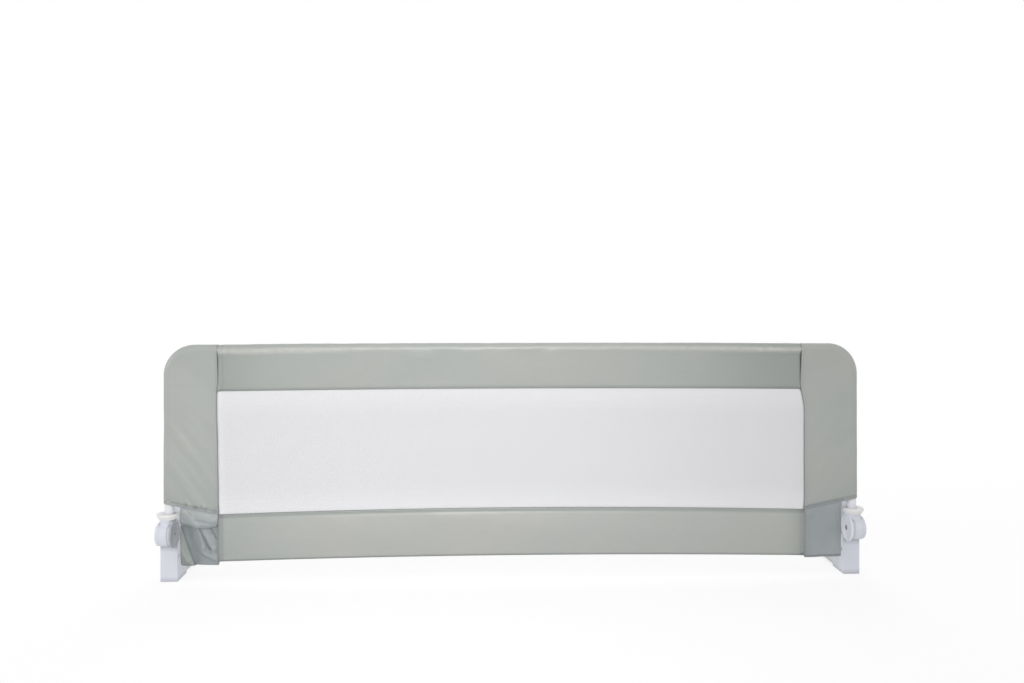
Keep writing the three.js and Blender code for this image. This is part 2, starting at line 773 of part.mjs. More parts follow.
function snapButton() {
  const centre = [jointX - buttonInset, 0];
  const low = topTubeZ - flangeDrop();
  const stem = rod(
    "z", buttonDiameter / 2, topTubeZ - tubeRadius - buttonStand, low + buttonFlangeThickness, centre, smallSides,
  );
  return stem.add(
    rod("z", buttonDiameter / 2 + buttonFlange, low, low + buttonFlangeThickness, centre, smallSides),
  );
}

// Bent leaf between the button and the far side of the spigot's bore.
function snapSpring() {
  const start = jointX - buttonInset - buttonDiameter / 2;
  const low = topTubeZ - flangeDrop() + buttonFlangeThickness + fitGap;
  const half = leafWidth / 2;
  const high = topTubeZ + Math.sqrt((spigotRadius - spigotWall) ** 2 - half ** 2) - fitGap;
  const leaf = polygon([
    [start, low],
    [start + leafLength, low + leafThickness],
    [start + leafLength + leafThickness, (low + high) / 2],
    [start + leafLength, high - leafThickness],
    [start, high],
    [start, high - leafThickness],
    [start + leafLength - leafThickness, high - 2 * leafThickness],
    [start + leafLength - leafThickness, low + 2 * leafThickness],
    [start, low + leafThickness],
  ]);
  return pulled("y", leaf, -half, half);
}

// Bar with rounded edges along an arm, larger than the arm by a margin all round.
function armBar(margin, from, to) {
  const half = armWidth / 2 + margin;
  const high = armHeight / 2 + margin;
  const outline = roundedBar(half, armZ - high, armZ + high, high * armCornerShare);
  return pulled("y", outline, from, to, smallSides / 4);
}

function roundedBar(half, low, high, corner) {
  const turn = Math.PI / 2;
  return new THREE.Shape()
    .moveTo(armX - half + corner, low)
    .lineTo(armX + half - corner, low)
    .absarc(armX + half - corner, low + corner, corner, -turn, 0)
    .absarc(armX + half - corner, high - corner, corner, 0, turn)
    .absarc(armX - half + corner, high - corner, corner, turn, 2 * turn)
    .absarc(armX - half + corner, low + corner, corner, 2 * turn, 3 * turn);
}

function armScrewHole(top) {
  return rod("z", armScrewDiameter / 2 + fitGap, armZ, top, [armX, armScrewY], smallSides);
}

function armTube() {
  return armBar(0, armStart, armEnd)
    .subtract(armBar(-armWall, armStart - overrun, armEnd + overrun))
    .subtract(armScrewHole(armZ + armHeight));
}

function armScrew() {
  const centre = [armX, armScrewY];
  const seat = shoeHeight + fitGap;
  const middle = seat + armScrewHeadHeight / 2;
  const top = seat + armScrewHeadHeight;
  const head = rod("z", armScrewHead / 2, seat, top, centre, smallSides);
  const shank = rod("z", armScrewDiameter / 2, seat - armScrewLength, middle, centre, smallSides);
  const across = driverSlot(armScrewHead / 2) / 2;
  return head.add(shank).subtract(rod("z", across, middle, top + overrun, centre, 6));
}

// Cap on the arm's far end, which lies flat on the bed base.
function armCap() {
  const margin = fitGap + capWall;
  const high = armHeight / 2 + margin;
  const outline = roundedBar(armWidth / 2 + margin, 0, armZ + high, high * armCornerShare);
  return pulled("y", outline, armReach - capLength, armReach, smallSides / 4)
    .subtract(armBar(fitGap, armReach - capLength - overrun, armReach - capWall));
}

function mesh(name, shape, look) {
  const geometry = shape.isBufferGeometry ? shape : geometryOf(shape);
  geometry.computeVertexNormals();
  const made = new THREE.Mesh(geometry, new THREE.MeshStandardMaterial(look));
  made.name = name;
  return made;
}

// The pieces that each end has, drawn for the +X end; the other end is its mirror image.
const endPieces = {
  bracket: [bracket, whitePlastic],
  hinge_plate: [hingePlate, steel],
  plate_pin: [platePin, zinc],
  hinge_hub: [hingeHub, whitePlastic],
  hub_cap: [hubCap, whitePlastic],
  hinge_bolt: [hingeBolt, zinc],
  hinge_nut: [hingeNut, zinc],
  tube_screw: [tubeScrew, zinc],
  lock_ring: [lockRing, ringPlastic],
  lock_pin: [lockPin, zinc],
  lock_plunger: [lockPlunger, zinc],
  lock_spring: [lockSpring, zinc],
  spring_plug: [springPlug, whitePlastic],
  corner_tube: [cornerTube, steel],
  joint_spigot: [spigot, zinc],
  spigot_rivet: [spigotRivet, zinc],
  snap_button: [snapButton, zinc],
  snap_spring: [snapSpring, zinc],
  arm_tube: [armTube, armPaint],
  arm_cap: [armCap, whitePlastic],
  arm_screw: [armScrew, zinc],
  end_panel: [endPanel, greyCloth],
};

const rail = new THREE.Group();
for (const [end, mirror] of [["left", -1], ["right", 1]]) {
  const group = new THREE.Group();
  group.scale.x = mirror;
  for (const [name, [make, look]] of Object.entries(endPieces)) {
    group.add(mesh(name + "_" + end, make(), look));
  }
  const crease = end === "left" ? foldDepth : smoothFoldDepth;
  group.add(mesh("corner_flap_" + end, cornerFlap(crease, ...flapGrids[end]), darkCloth));
  rail.add(group);
}
rail.add(mesh("top_tube", topTube(), steel));
rail.add(mesh("top_band", topBand(), greyCloth));
const bandHalf = seamX - fitGap;
rail.add(mesh(
  "bottom_band",
  archedSheet(bandHalf, bottomBandLow, bandArch, bottomBandTop, windowArch, hemThickness),
  greyCloth,
));
rail.add(mesh(
  "mesh_panel",
  archedSheet(bandHalf, bottomBandTop + fitGap, windowArch, windowTop - fitGap, 0, meshThickness),
  whiteMesh,
));

// The origin is on the bed base, midway between the front of the hubs and the ends of the arms.
rail.position.y = (discRadius - armReach) / 2;

export default rail;
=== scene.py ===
# Folding bed guard rail: cloth cover, mesh window, lockable hinges and under-mattress arms.
import math
import bmesh
import bpy
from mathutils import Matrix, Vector, noise


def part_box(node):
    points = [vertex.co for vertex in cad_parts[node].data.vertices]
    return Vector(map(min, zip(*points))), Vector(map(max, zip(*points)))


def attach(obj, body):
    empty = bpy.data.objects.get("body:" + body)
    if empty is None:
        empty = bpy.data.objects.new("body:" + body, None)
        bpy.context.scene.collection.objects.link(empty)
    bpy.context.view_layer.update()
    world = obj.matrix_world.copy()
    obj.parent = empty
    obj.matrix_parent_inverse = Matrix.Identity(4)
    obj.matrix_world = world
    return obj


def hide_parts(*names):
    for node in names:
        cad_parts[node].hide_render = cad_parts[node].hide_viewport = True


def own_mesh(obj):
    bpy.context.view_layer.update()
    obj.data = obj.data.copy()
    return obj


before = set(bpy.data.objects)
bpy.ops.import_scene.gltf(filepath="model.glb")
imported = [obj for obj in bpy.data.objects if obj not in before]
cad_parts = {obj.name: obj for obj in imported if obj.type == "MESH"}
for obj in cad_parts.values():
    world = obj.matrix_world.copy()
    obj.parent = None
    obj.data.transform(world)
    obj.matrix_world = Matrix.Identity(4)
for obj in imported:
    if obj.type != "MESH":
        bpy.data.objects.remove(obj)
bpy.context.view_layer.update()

mm = 0.001
print("frame loaded:", len(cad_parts), "nodes")

# The tubes' plane and the outlines of the cloth, read from the frame
topLow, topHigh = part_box("top_tube")
tubeY = (topLow.y + topHigh.y) / 2
tubeZ = (topLow.z + topHigh.z) / 2
panelLow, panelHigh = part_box("end_panel_right")
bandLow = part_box("top_band")[0]
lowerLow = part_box("bottom_band")[0]
flapLow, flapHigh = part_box("corner_flap_right")

cover = {
    "seamX": panelLow.x,
    "outerX": panelHigh.x,
    "top": panelHigh.z,
    "windowTop": bandLow.z - 1.7 * mm,  # the hems hang a little lower than the solids
    "windowLow": 118.8 * mm,  # lower edge of the window at its ends
    "windowArch": 7.5 * mm,  # and how far it is drawn up in the middle
    "bandLow": lowerLow.z - 1.8 * mm,
    "bandArch": 5.7 * mm,
    "hemOuter": 140 * mm,  # slanted hem of the end panels
    "hemInner": 118 * mm,
    "sleeve": 9.2 * mm,  # radius of the cloth round a tube
    "seamHalf": 1.4 * mm,  # half of the sewn edge's thickness
    "bendRadius": 43 * mm,
    "cloth": 0.8 * mm,
    "tuck": 0.6 * mm,  # how far a band reaches under the end panel
    "lineWidth": 1.4 * mm,  # of the shade along a sewn line
}
seamX, outerX, sleeve = cover["seamX"], cover["outerX"], cover["sleeve"]
windowTop, windowLow, hemInner = cover["windowTop"], cover["windowLow"], cover["hemInner"]
tubeX = outerX - sleeve

# The sewn seams beside the window wander a little: (height, how far outwards) from the foot up
seamDrift = {
    -1: [(118 * mm, 1.6 * mm), (150 * mm, 2.3 * mm), (240 * mm, 3.6 * mm), (300 * mm, 5.0 * mm),
         (330 * mm, 5.0 * mm), (348 * mm, 2.6 * mm)],
    1: [(118 * mm, 0.0), (140 * mm, 1.5 * mm), (290 * mm, 1.3 * mm), (345 * mm, -6.3 * mm)],
}


def smoothStep(value, low=0.0, high=1.0):
    share = min(1.0, max(0.0, (value - low) / (high - low)))
    return share * share * (3 - 2 * share)


def fade(value, low, high):
    return 1 - smoothStep(value, low, high)


def between(points, place, eased=True):  # height of a line of points at a place
    before = points[0]
    for point in points:
        if place <= point[0]:
            share = (place - before[0]) / max(point[0] - before[0], 1e-9)
            share = smoothStep(share) if eased else max(0.0, share)
            return before[1] + (point[1] - before[1]) * share
        before = point
    return before[1]


def ripple(size, x, z, layer=0.0, seed=0.0):  # -1 to 1, in waves of this size along and up
    return noise.noise(Vector((x / size[0], z / size[1] + seed * 3.7, layer + seed)))


def waves(own, x, z, layer=0.0, seed=0.0):  # of (depth, size along, size up)
    return own[0] * ripple(own[1:], x, z, layer, seed)


def smoothMax(a, b, blend):
    return 0.5 * (a + b + math.sqrt((a - b) ** 2 + blend * blend))


def bell(distance, width):
    return math.exp(-((distance / width) ** 2))


def dent(mark, place):  # a mark, such as a groove, is (where it lies, its depth or shade, its width)
    at, depth, width = mark
    return depth * bell(place - at, width)


def fromScreen(red, green, blue):  # screen values 0 to 255 into Blender's linear colours
    def linear(value):
        share = value / 255
        return share / 12.92 if share <= 0.04045 else ((share + 0.055) / 1.055) ** 2.4
    return (linear(red), linear(green), linear(blue), 1.0)


def addObject(name, data):
    thing = bpy.data.objects.new(name, data)
    bpy.context.scene.collection.objects.link(thing)
    return thing


# Shader nodes

def newTree(owner):
    owner.use_nodes = True
    owner.node_tree.nodes.clear()
    return owner.node_tree


def newMaterial(name):
    material = bpy.data.materials.new(name)
    return material, newTree(material)


def addNode(tree, kind, inputs=None, **settings):  # an input is a plain value, a socket or a node
    node = tree.nodes.new("ShaderNode" + kind)
    for key, value in settings.items():
        setattr(node, key, value)
    for key, value in (inputs or {}).items():
        if isinstance(value, bpy.types.Node):
            value = value.outputs[0]
        if isinstance(value, bpy.types.NodeSocket):
            tree.links.new(value, node.inputs[key])
        else:
            node.inputs[key].default_value = value
    return node


def maths(tree, operation, *values):
    return addNode(tree, "Math", dict(enumerate(values)), operation=operation).outputs[0]


def mapped(tree, value, to, fromRange=(0.0, 1.0)):
    ranges = {"From Min": fromRange[0], "From Max": fromRange[1], "To Min": to[0], "To Max": to[1]}
    return addNode(tree, "MapRange", {"Value": value, **ranges}).outputs[0]


def around(tree, value, middle, change, fromRange=(0.0, 1.0)):
    return mapped(tree, value, (middle - change, middle + change), fromRange)


def noiseIn(tree, place, scale, detail=2.0):
    return addNode(tree, "TexNoise", {"Vector": place, "Scale": scale, "Detail": detail})


def toned(tree, colour, level):
    return addNode(tree, "HueSaturation", {"Color": colour, "Value": level})


def bumped(tree, height, strength, distance):
    return addNode(tree, "Bump", {"Height": height, "Strength": strength, "Distance": distance})


def surface(tree, inputs):
    body = addNode(tree, "BsdfPrincipled", inputs)
    addNode(tree, "OutputMaterial", {"Surface": body})


# Camera, lights and floor

cameraSetup = {
    "place": (-0.0614, tubeY - 1.5598, 0.5139),
    "turn": (90, 0, -2.06),  # degrees
    "lens": 31.62,
    "shiftDown": -0.0562,  # the picture reaches further below the lens than above it
}
lamps = {
    "front": {"kind": "SPOT", "place": (-0.06, tubeY - 1.9, 0.50), "aim": (-0.1, tubeY, 0.26), "size": 0.16,
              "watts": 20, "spread": 62},
    "key": {"kind": "SPOT", "place": (-0.18, tubeY - 2.3, 0.95), "aim": (-0.16, tubeY, 0.26), "size": 0.30,
            "watts": 36, "spread": 36},
    "left": {"kind": "AREA", "place": (-2.6, tubeY - 1.1, 0.9), "aim": (0.3, tubeY, 0.1), "size": 1.2,
             "watts": 6},
    "back": {"kind": "AREA", "place": (0.4, tubeY + 2.4, 1.6), "aim": (0, tubeY, 0.2), "size": 2.0,
             "watts": 8},
}
studio = {
    "horizon": 0.72, "zenith": 0.76,  # strength of the light from all round, low down and overhead
    "floorGlow": 0.69, "floorGrey": 0.37, "bounce": 0.92,
    "floorSize": 30.0, "whiteFrom": 0.9, "whiteTo": 1.9,  # the floor turns white between these
}


def addCamera(setup):
    data = bpy.data.cameras.new("camera")
    data.lens = setup["lens"]
    data.shift_y = setup["shiftDown"]
    camera = addObject("camera", data)
    camera.location = setup["place"]
    camera.rotation_euler = [math.radians(angle) for angle in setup["turn"]]
    bpy.context.scene.camera = camera


def addLamps(setups):
    for name, setup in setups.items():
        data = bpy.data.lights.new(name, setup["kind"])
        data.energy = setup["watts"]
        if setup["kind"] == "SPOT":
            data.shadow_soft_size = setup["size"]
            data.spot_size = math.radians(setup["spread"])
            data.spot_blend = 1.0
        else:
            data.shape = "SQUARE"
            data.size = setup["size"]
        lamp = addObject(name, data)
        lamp.location = setup["place"]
        direction = Vector(setup["aim"]) - lamp.location
        lamp.rotation_euler = direction.to_track_quat("-Z", "Y").to_euler()


def addWorld(setup):
    world = bpy.data.worlds.new("studio")
    bpy.context.scene.world = world
    tree = newTree(world)
    path = addNode(tree, "LightPath").outputs
    seen = maths(tree, "MAXIMUM", path["Is Camera Ray"], path["Is Transmission Ray"])
    seen = maths(tree, "MAXIMUM", seen, path["Is Glossy Ray"])
    direction = addNode(tree, "TexCoord").outputs["Generated"]
    height = addNode(tree, "SeparateXYZ", {0: direction}).outputs["Z"]
    dome = mapped(tree, height, (setup["horizon"], setup["zenith"]))
    strength = addNode(tree, "Mix", {"Factor": seen, "A": dome, "B": 1.0}, data_type="FLOAT")
    sky = addNode(tree, "Background", {"Color": (1, 1, 1, 1), "Strength": strength})
    addNode(tree, "OutputWorld", {"Surface": sky})


def addFloor(setup):
    # seen directly it is pale with the object's soft shadow and turns white further off;
    # for all other light it is a plain matt white
    half = setup["floorSize"] / 2
    mesh = bpy.data.meshes.new("floor")
    corners = [(-half, -half, 0), (half, -half, 0), (half, half, 0), (-half, half, 0)]
    mesh.from_pydata(corners, [], [(0, 1, 2, 3)])
    floor = addObject("floor", mesh)
    material, tree = newMaterial("paleFloor")
    grey, bounce = setup["floorGrey"], setup["bounce"]
    shown = addNode(tree, "BsdfDiffuse", {"Color": (grey, grey, grey, 1)})
    glow = addNode(tree, "Emission", {"Strength": setup["floorGlow"]})
    both = addNode(tree, "AddShader", {0: shown, 1: glow})
    white = addNode(tree, "Emission", {"Strength": 1.0})
    place = addNode(tree, "TexCoord").outputs["Object"]
    away = addNode(tree, "VectorMath", {0: place}, operation="LENGTH").outputs["Value"]
    far = addNode(tree, "MapRange", {
        "Value": away, "From Min": setup["whiteFrom"], "From Max": setup["whiteTo"],
    }, interpolation_type="SMOOTHSTEP")
    fading = addNode(tree, "MixShader", {0: far, 1: both, 2: white})
    matt = addNode(tree, "BsdfDiffuse", {"Color": (bounce, bounce, bounce, 1)})
    direct = addNode(tree, "LightPath").outputs["Is Camera Ray"]
    choice = addNode(tree, "MixShader", {0: direct, 1: matt, 2: fading})
    addNode(tree, "OutputMaterial", {"Surface": choice})
    mesh.materials.append(material)


addCamera(cameraSetup)
addLamps(lamps)
addWorld(studio)
addFloor(studio)
bpy.context.scene.view_settings.view_transform = "Standard"
print("camera, lamps and floor placed")

# Materials

clothLooks = {
    "greyCloth": {"colour": (176, 177, 172), "tint": (169, 174, 170), "roughness": 0.38, "gloss": 0.95,
                  "thread": 0.6 * mm, "softness": 6.0, "slubs": 0.022},
    "liningCloth": {"colour": (164, 169, 171), "tint": (150, 156, 159), "roughness": 0.36, "gloss": 0.55,
                    "thread": 0.5 * mm, "softness": 16.0, "slubs": 0.025},
    "turnedCloth": {"colour": (166, 172, 168), "tint": (152, 158, 157), "roughness": 0.40, "gloss": 0.55,
                    "thread": 0.6 * mm, "softness": 16.0, "slubs": 0.022},
    "foldedCloth": {"colour": (187, 190, 188), "tint": (169, 174, 175), "roughness": 0.40, "gloss": 0.6,
                    "thread": 0.6 * mm, "softness": 16.0, "slubs": 0.022},
}
weave = {
    "depth": 0.05, "bump": 0.2 * mm, "stitchHeight": 4.0, "sheen": 0.08, "sheenRoughness": 0.45,
    "slubSize": (22 * mm, 2.2 * mm), "slubRange": (0.3, 0.7),  # the thicker threads, along and across
    "patches": (0.35, 0.65), "patchTint": 0.7, "unevenGloss": 0.05,
    "cooling": 6.0,  # how soon a place darkened by painted shade turns to its tint
}
stitchLook = {"length": 3.2 * mm, "gapShare": 0.3, "inset": 3.0 * mm, "width": 0.5 * mm, "dip": 0.22}
meshLook = {
    "colour": (231, 231, 234), "roughness": 0.7, "unevenGloss": 0.1, "bump": 0.3 * mm, "depth": 0.1,
    "pitch": 1.9 * mm, "open": 0.30, "edge": 0.06, "clear": 0.3,  # the holes, and how much they hide
    "driftScale": 2.5, "uneven": 0.015, "sheen": 0.1, "sheenRoughness": 0.4, "gloss": 0.3,
}
plastic = {"colour": (222, 224, 233), "roughness": 0.42, "grain": 0.12, "scale": 900, "metal": 0.0}
paint = {"roughness": 0.34, "grain": 0.06, "scale": 500, "metal": 0.0}
hardLooks = {
    "whitePlastic": {**plastic, "creviceShade": 0.45},
    "hubPlastic": {**plastic, "creviceShade": 0.74},
    "ringPlastic": {**plastic, "colour": (238, 237, 236), "roughness": 0.38, "grain": 0.08, "creviceShade": 0.92},
    "paintedSteel": {**paint, "colour": (236, 237, 242), "roughness": 0.28, "grain": 0.05, "creviceShade": 0.92},
    "platePaint": {**paint, "colour": (220, 222, 230), "creviceShade": 0.74},
    "armPaint": {**paint, "colour": (226, 227, 224), "creviceShade": 0.5},
    "zincSteel": {**paint, "colour": (188, 190, 192), "grain": 0.1, "scale": 1400, "metal": 1.0,
                  "creviceShade": 0.45},
}
hardSurface = {
    "creviceShadeReach": 10 * mm,  # painted shade: where others are this near it is painted darker, down to its share creviceShade
    "brightest": 1.26,  # no spot gets brighter than this share of its colour
    "markScale": 26.0, "markTones": (0.975, 1.02), "unevenGloss": (-0.07, 0.09), "bump": 0.15 * mm,
}


def seamPlace(tree):  # along and across the nearest seam, and the tone, mostly painted shade and painted highlight: what each cloth carries
    place = addNode(tree, "Attribute", attribute_name="seamPlace").outputs["Vector"]
    return addNode(tree, "SeparateXYZ", {0: place}).outputs


def stitchMask(tree, along, across, look):  # one along every stitch
    step = maths(tree, "FRACT", maths(tree, "DIVIDE", along, look["length"]))
    drawn = maths(tree, "GREATER_THAN", step, look["gapShare"])
    away = maths(tree, "ABSOLUTE", maths(tree, "SUBTRACT", across, look["inset"]))
    return maths(tree, "MULTIPLY", drawn, maths(tree, "LESS_THAN", away, look["width"]))


def clothMaterial(name, look):
    material, tree = newMaterial(name)
    place = addNode(tree, "UVMap", uv_map="cloth")
    blotches = noiseIn(tree, place, look["softness"], 3.0)
    length, width = weave["slubSize"]
    stretched = addNode(tree, "Mapping", {"Vector": place, "Scale": (1 / length, 1 / width, 1)})
    slubs = noiseIn(tree, stretched, 1.0)
    along, across, tone = seamPlace(tree)
    stitches = stitchMask(tree, along, across, stitchLook)
    patches = mapped(tree, blotches, (0.0, weave["patchTint"]), weave["patches"])
    cooler = maths(tree, "MULTIPLY", maths(tree, "SUBTRACT", 1.0, tone), weave["cooling"])
    shades = addNode(tree, "Mix", {
        "Factor": maths(tree, "ADD", patches, cooler),
        "A": fromScreen(*look["colour"]), "B": fromScreen(*look["tint"]),
    }, data_type="RGBA").outputs["Result"]
    dimmed = maths(tree, "SUBTRACT", 1.0, maths(tree, "MULTIPLY", stitches, stitchLook["dip"]))
    streaks = around(tree, slubs, 1, look["slubs"], weave["slubRange"])
    level = maths(tree, "MULTIPLY", maths(tree, "MULTIPLY", dimmed, tone), streaks)
    colour = toned(tree, shades, level)
    # plain weave: threads along both directions of the cloth; a wave texture repeats every pi / 10
    threads = {"Vector": place, "Scale": math.pi / 10 / look["thread"]}
    warp = addNode(tree, "TexWave", threads, bands_direction="X").outputs["Fac"]
    weft = addNode(tree, "TexWave", threads, bands_direction="Y").outputs["Fac"]
    raised = maths(tree, "MULTIPLY", stitches, weave["stitchHeight"])
    height = maths(tree, "ADD", maths(tree, "ADD", warp, weft), raised)
    bump = bumped(tree, height, weave["depth"], weave["bump"])
    surface(tree, {
        "Base Color": colour, "Roughness": around(tree, blotches, look["roughness"], weave["unevenGloss"]),
        "Normal": bump, "Sheen Weight": weave["sheen"], "Sheen Roughness": weave["sheenRoughness"],
        "Specular IOR Level": look["gloss"]})
    return material


def meshMaterial(name, look):
    material, tree = newMaterial(name)
    place = addNode(tree, "UVMap", uv_map="cloth")
    turned = addNode(tree, "Mapping", {"Vector": place, "Rotation": (0, 0, math.radians(45))})
    holes = addNode(tree, "TexVoronoi", {
        "Vector": turned, "Scale": 1 / look["pitch"], "Randomness": 0.0}, feature="F1").outputs["Distance"]
    edge = (look["open"] - look["edge"], look["open"] + look["edge"])
    drift = noiseIn(tree, place, look["driftScale"])
    uneven = around(tree, drift, 1, look["uneven"])
    level = maths(tree, "MULTIPLY", seamPlace(tree)["Z"], uneven)
    colour = toned(tree, fromScreen(*look["colour"]), level)
    bump = bumped(tree, holes, look["depth"], look["bump"])
    surface(tree, {
        "Base Color": colour, "Roughness": around(tree, drift, look["roughness"], look["unevenGloss"]),
        "Alpha": mapped(tree, holes, (look["clear"], 1.0), edge), "Normal": bump,
        "Sheen Weight": look["sheen"], "Sheen Roughness": look["sheenRoughness"],
        "Specular IOR Level": look["gloss"]})
    return material


def hardMaterial(name, look):
    material, tree = newMaterial(name)
    place = addNode(tree, "TexCoord").outputs["Object"]
    grain = noiseIn(tree, place, look["scale"])
    marks = noiseIn(tree, place, hardSurface["markScale"], 4.0)
    # painted shade in crevices and between parts, from how open each place is
    openness = addNode(tree, "AmbientOcclusion", {"Distance": hardSurface["creviceShadeReach"]}, samples=8)
    occlusionShade = mapped(tree, openness.outputs["AO"], (look["creviceShade"], 1.0))
    shade = addNode(tree, "Attribute", attribute_name="shade").outputs["Fac"]
    lit = maths(tree, "MINIMUM", maths(tree, "SUBTRACT", occlusionShade, shade), hardSurface["brightest"])
    tone = mapped(tree, marks, hardSurface["markTones"])
    colour = toned(tree, fromScreen(*look["colour"]), maths(tree, "MULTIPLY", tone, lit))
    shine = mapped(tree, marks, [look["roughness"] + change for change in hardSurface["unevenGloss"]])
    bump = bumped(tree, grain, look["grain"], hardSurface["bump"])
    surface(tree, {"Base Color": colour, "Roughness": shine, "Normal": bump, "Metallic": look["metal"]})
    return material


materials = {name: clothMaterial(name, look) for name, look in clothLooks.items()}
materials["whiteMesh"] = meshMaterial("whiteMesh", meshLook)
for name, look in hardLooks.items():
    materials[name] = hardMaterial(name, look)
print("materials made:", len(materials))

# Cloth pieces

def clothGrid(name, rows, columns, pointAt, clothAt, seamAt, material):
    # a sheet from a grid of points, with its place in the cloth and along its seam, and its tone of painted
    # shade and highlight
    grid = [(row / rows, column / columns) for row in range(rows + 1) for column in range(columns + 1)]
    faces = []
    for row in range(rows):
        for column in range(columns):
            first = row * (columns + 1) + column
            faces.append((first, first + 1, first + columns + 2, first + columns + 1))
    mesh = bpy.data.meshes.new(name)
    mesh.from_pydata([pointAt(down, across) for down, across in grid], [], faces)
    flat = [clothAt(down, across) for down, across in grid]
    layer = mesh.uv_layers.new(name="cloth")
    for loop in mesh.loops:
        layer.data[loop.index].uv = flat[loop.vertex_index]
    place = mesh.attributes.new("seamPlace", "FLOAT_VECTOR", "POINT")
    for index, (down, across) in enumerate(grid):
        place.data[index].vector = seamAt(down, across)
    mesh.materials.append(material)
    mesh.polygons.foreach_set("use_smooth", [True] * len(mesh.polygons))
    return addObject(name, mesh)


def weldAndThicken(piece, thickness, side=-1.0):
    bm = bmesh.new()
    bm.from_mesh(piece.data)
    bmesh.ops.remove_doubles(bm, verts=bm.verts, dist=0.02 * mm)
    bmesh.ops.dissolve_degenerate(bm, edges=bm.edges, dist=0.01 * mm)
    bm.to_mesh(piece.data)
    bm.free()
    solid = piece.modifiers.new("thickness", "SOLIDIFY")
    solid.thickness = thickness
    solid.offset = side


def dressWith(piece, node):
    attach(piece, "rail")
    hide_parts(node)


def seamAtHeight(sign, z):  # distance of the sewn seam from the middle of the rail
    return seamX + between(seamDrift[sign], z)


def alongBand(across, z):  # place along a band that runs from one seam to the other
    left = -seamAtHeight(-1, z) - cover["tuck"]
    right = seamAtHeight(1, z) + cover["tuck"]
    return left + (right - left) * across


def toSeams(x, z):  # how far a place is from the left and from the right seam
    return x + seamAtHeight(-1, z), seamAtHeight(1, z) - x


def lineShade(away, dark):  # how much darker the cloth is close to a sewn line
    return dark * bell(away, cover["lineWidth"])


def archAt(x, rise):
    return rise * (1 - (x / seamX) ** 2)


def hemAt(x):  # height of the slanted hem of the end panels
    share = (abs(x) - seamX) / (outerX - seamX)
    return hemInner + (cover["hemOuter"] - hemInner) * share


# Top band: a sleeve over the top tube whose two layers meet above the window. Here and below, most pairs are
# where a change begins and ends, and those named size are of waves, along and up; three numbers are waves
# (depth, size along, size up) or, for grooves and other lines, a mark
topBand = {
    "rows": 60, "columns": 330,
    "rise": 2.0 * mm, "riseOver": (-60 * mm, 0),  # how much the middle stands up
    "hemArch": 3.0 * mm, "hemArchOver": (-60 * mm, -10 * mm),
    "crown": {"at": 1.84 * mm, "width": 8.28 * mm},  # on top of the tube it puckers more and waves less
    "puckers": (0.62 * mm, 30 * mm, 16 * mm), "beside": 0.25,
    "fine": (0.2 * mm, 13 * mm, 11 * mm), "fineBeside": 0.15,
    "waves": (0.7 * mm, 150 * mm, 60 * mm), "crownCalm": 0.6,
    "settles": (2 * mm, 14 * mm), "belowTube": (0, 14 * mm),
    "hemGroove": (3.6 * mm, 0.7 * mm, 1.5 * mm),
    "endGroove": (9 * mm, 0.8 * mm, 1.5 * mm),  # the stitched line beside the left seam
    "endDraw": (0, 0.5 * mm, 5 * mm),
    "pulls": {"at": 16 * mm, "reach": 22 * mm, "height": 1 * mm, "tall": 7 * mm,  # slanting, at the right, with painted light and shade along them
              "step": 7.5 * mm, "slant": 0.9, "depth": 0.6 * mm, "shade": 0.2, "shadeTurn": 1.2},
    "cornerRound": 4.6 * mm, "cornerFades": (0, 18 * mm),
    # painted shade along the sewn lines and on the strip at the hem
    "lines": {"hem": 0.06, "edge": 0.16, "end": 0.10, "seam": 0.14},
    "stripShade": 0.06, "strip": (3 * mm, 6 * mm), "faceShade": 0.035,
    "crestHighlight": {  # a painted highlight along the crest: how much brighter, how high and the painted shade above it, each by place along
        "bright": [(-0.48, 0.27), (-0.37, 0.24), (-0.165, 0.04), (0.0, 0.04), (0.147, 0.10), (0.325, 0.17),
                   (0.448, 0.32), (0.488, 0.28)],
        "height": [(-0.48, -2.5 * mm), (-0.37, -1.5 * mm), (-0.165, 1.5 * mm), (0.147, 1.8 * mm),
                   (0.325, 0.5 * mm), (0.488, -1.5 * mm)],
        "above": [(-0.48, 0.05), (-0.37, 0.0), (-0.165, -0.03), (0.147, 0.0), (0.325, 0.09), (0.448, 0.16),
                  (0.488, 0.14)],
        "width": 4.2 * mm, "uneven": (0.6, 9 * mm, 5 * mm), "edge": (1 * mm, 4 * mm),
    },
    "sink": {  # how far the band draws in towards its ends, as a share of the room behind it, and the painted shade there
        "left": {"share": 0.35, "width": 60 * mm, "shade": 0.12},
        "right": {"share": 0.55, "width": 150 * mm, "shade": 0.19},
    },
    "seamRoom": 1.2 * mm, "sinkShadeFrom": (-4 * mm, 12 * mm),
}


def sleeveProfile(share):
    # place round the sleeve: 0 at the front seam, 1 at the back seam
    radius, seamHalf = sleeve, cover["seamHalf"]
    depth = tubeZ - windowTop
    lean = math.atan2(radius - seamHalf, depth)
    tangentY, tangentZ = radius * math.cos(lean), -radius * math.sin(lean)
    straight = math.hypot(tangentY - seamHalf, depth + tangentZ)
    arc = radius * (math.pi + 2 * lean)
    total = 2 * straight + arc
    place = share * total
    if straight <= place <= straight + arc:
        angle = math.pi + lean - (place - straight) / radius
        normal = (math.cos(angle), math.sin(angle))
        return radius * normal[0], radius * normal[1], normal, place, total
    side = -1 if place < straight else 1
    part = min(place, total - place) / straight
    y = side * (seamHalf + (tangentY - seamHalf) * part)
    normal = (side * math.cos(lean), -math.sin(lean))
    return y, -depth + (depth + tangentZ) * part, normal, place, total


def topPlace(down, across):
    y, z, normal, place, total = sleeveProfile(down)
    x = alongBand(across, tubeZ + z)
    return x, y, z, normal, min(place, total - place), *toSeams(x, tubeZ + z)


def pullsAt(x, z, fromRight, turn=0.0):
    own = topBand["pulls"]
    slant = math.sin((x + own["slant"] * z) / own["step"] * math.tau - turn)
    return slant * bell(fromRight - own["at"], own["reach"]) * bell(z - own["height"], own["tall"])


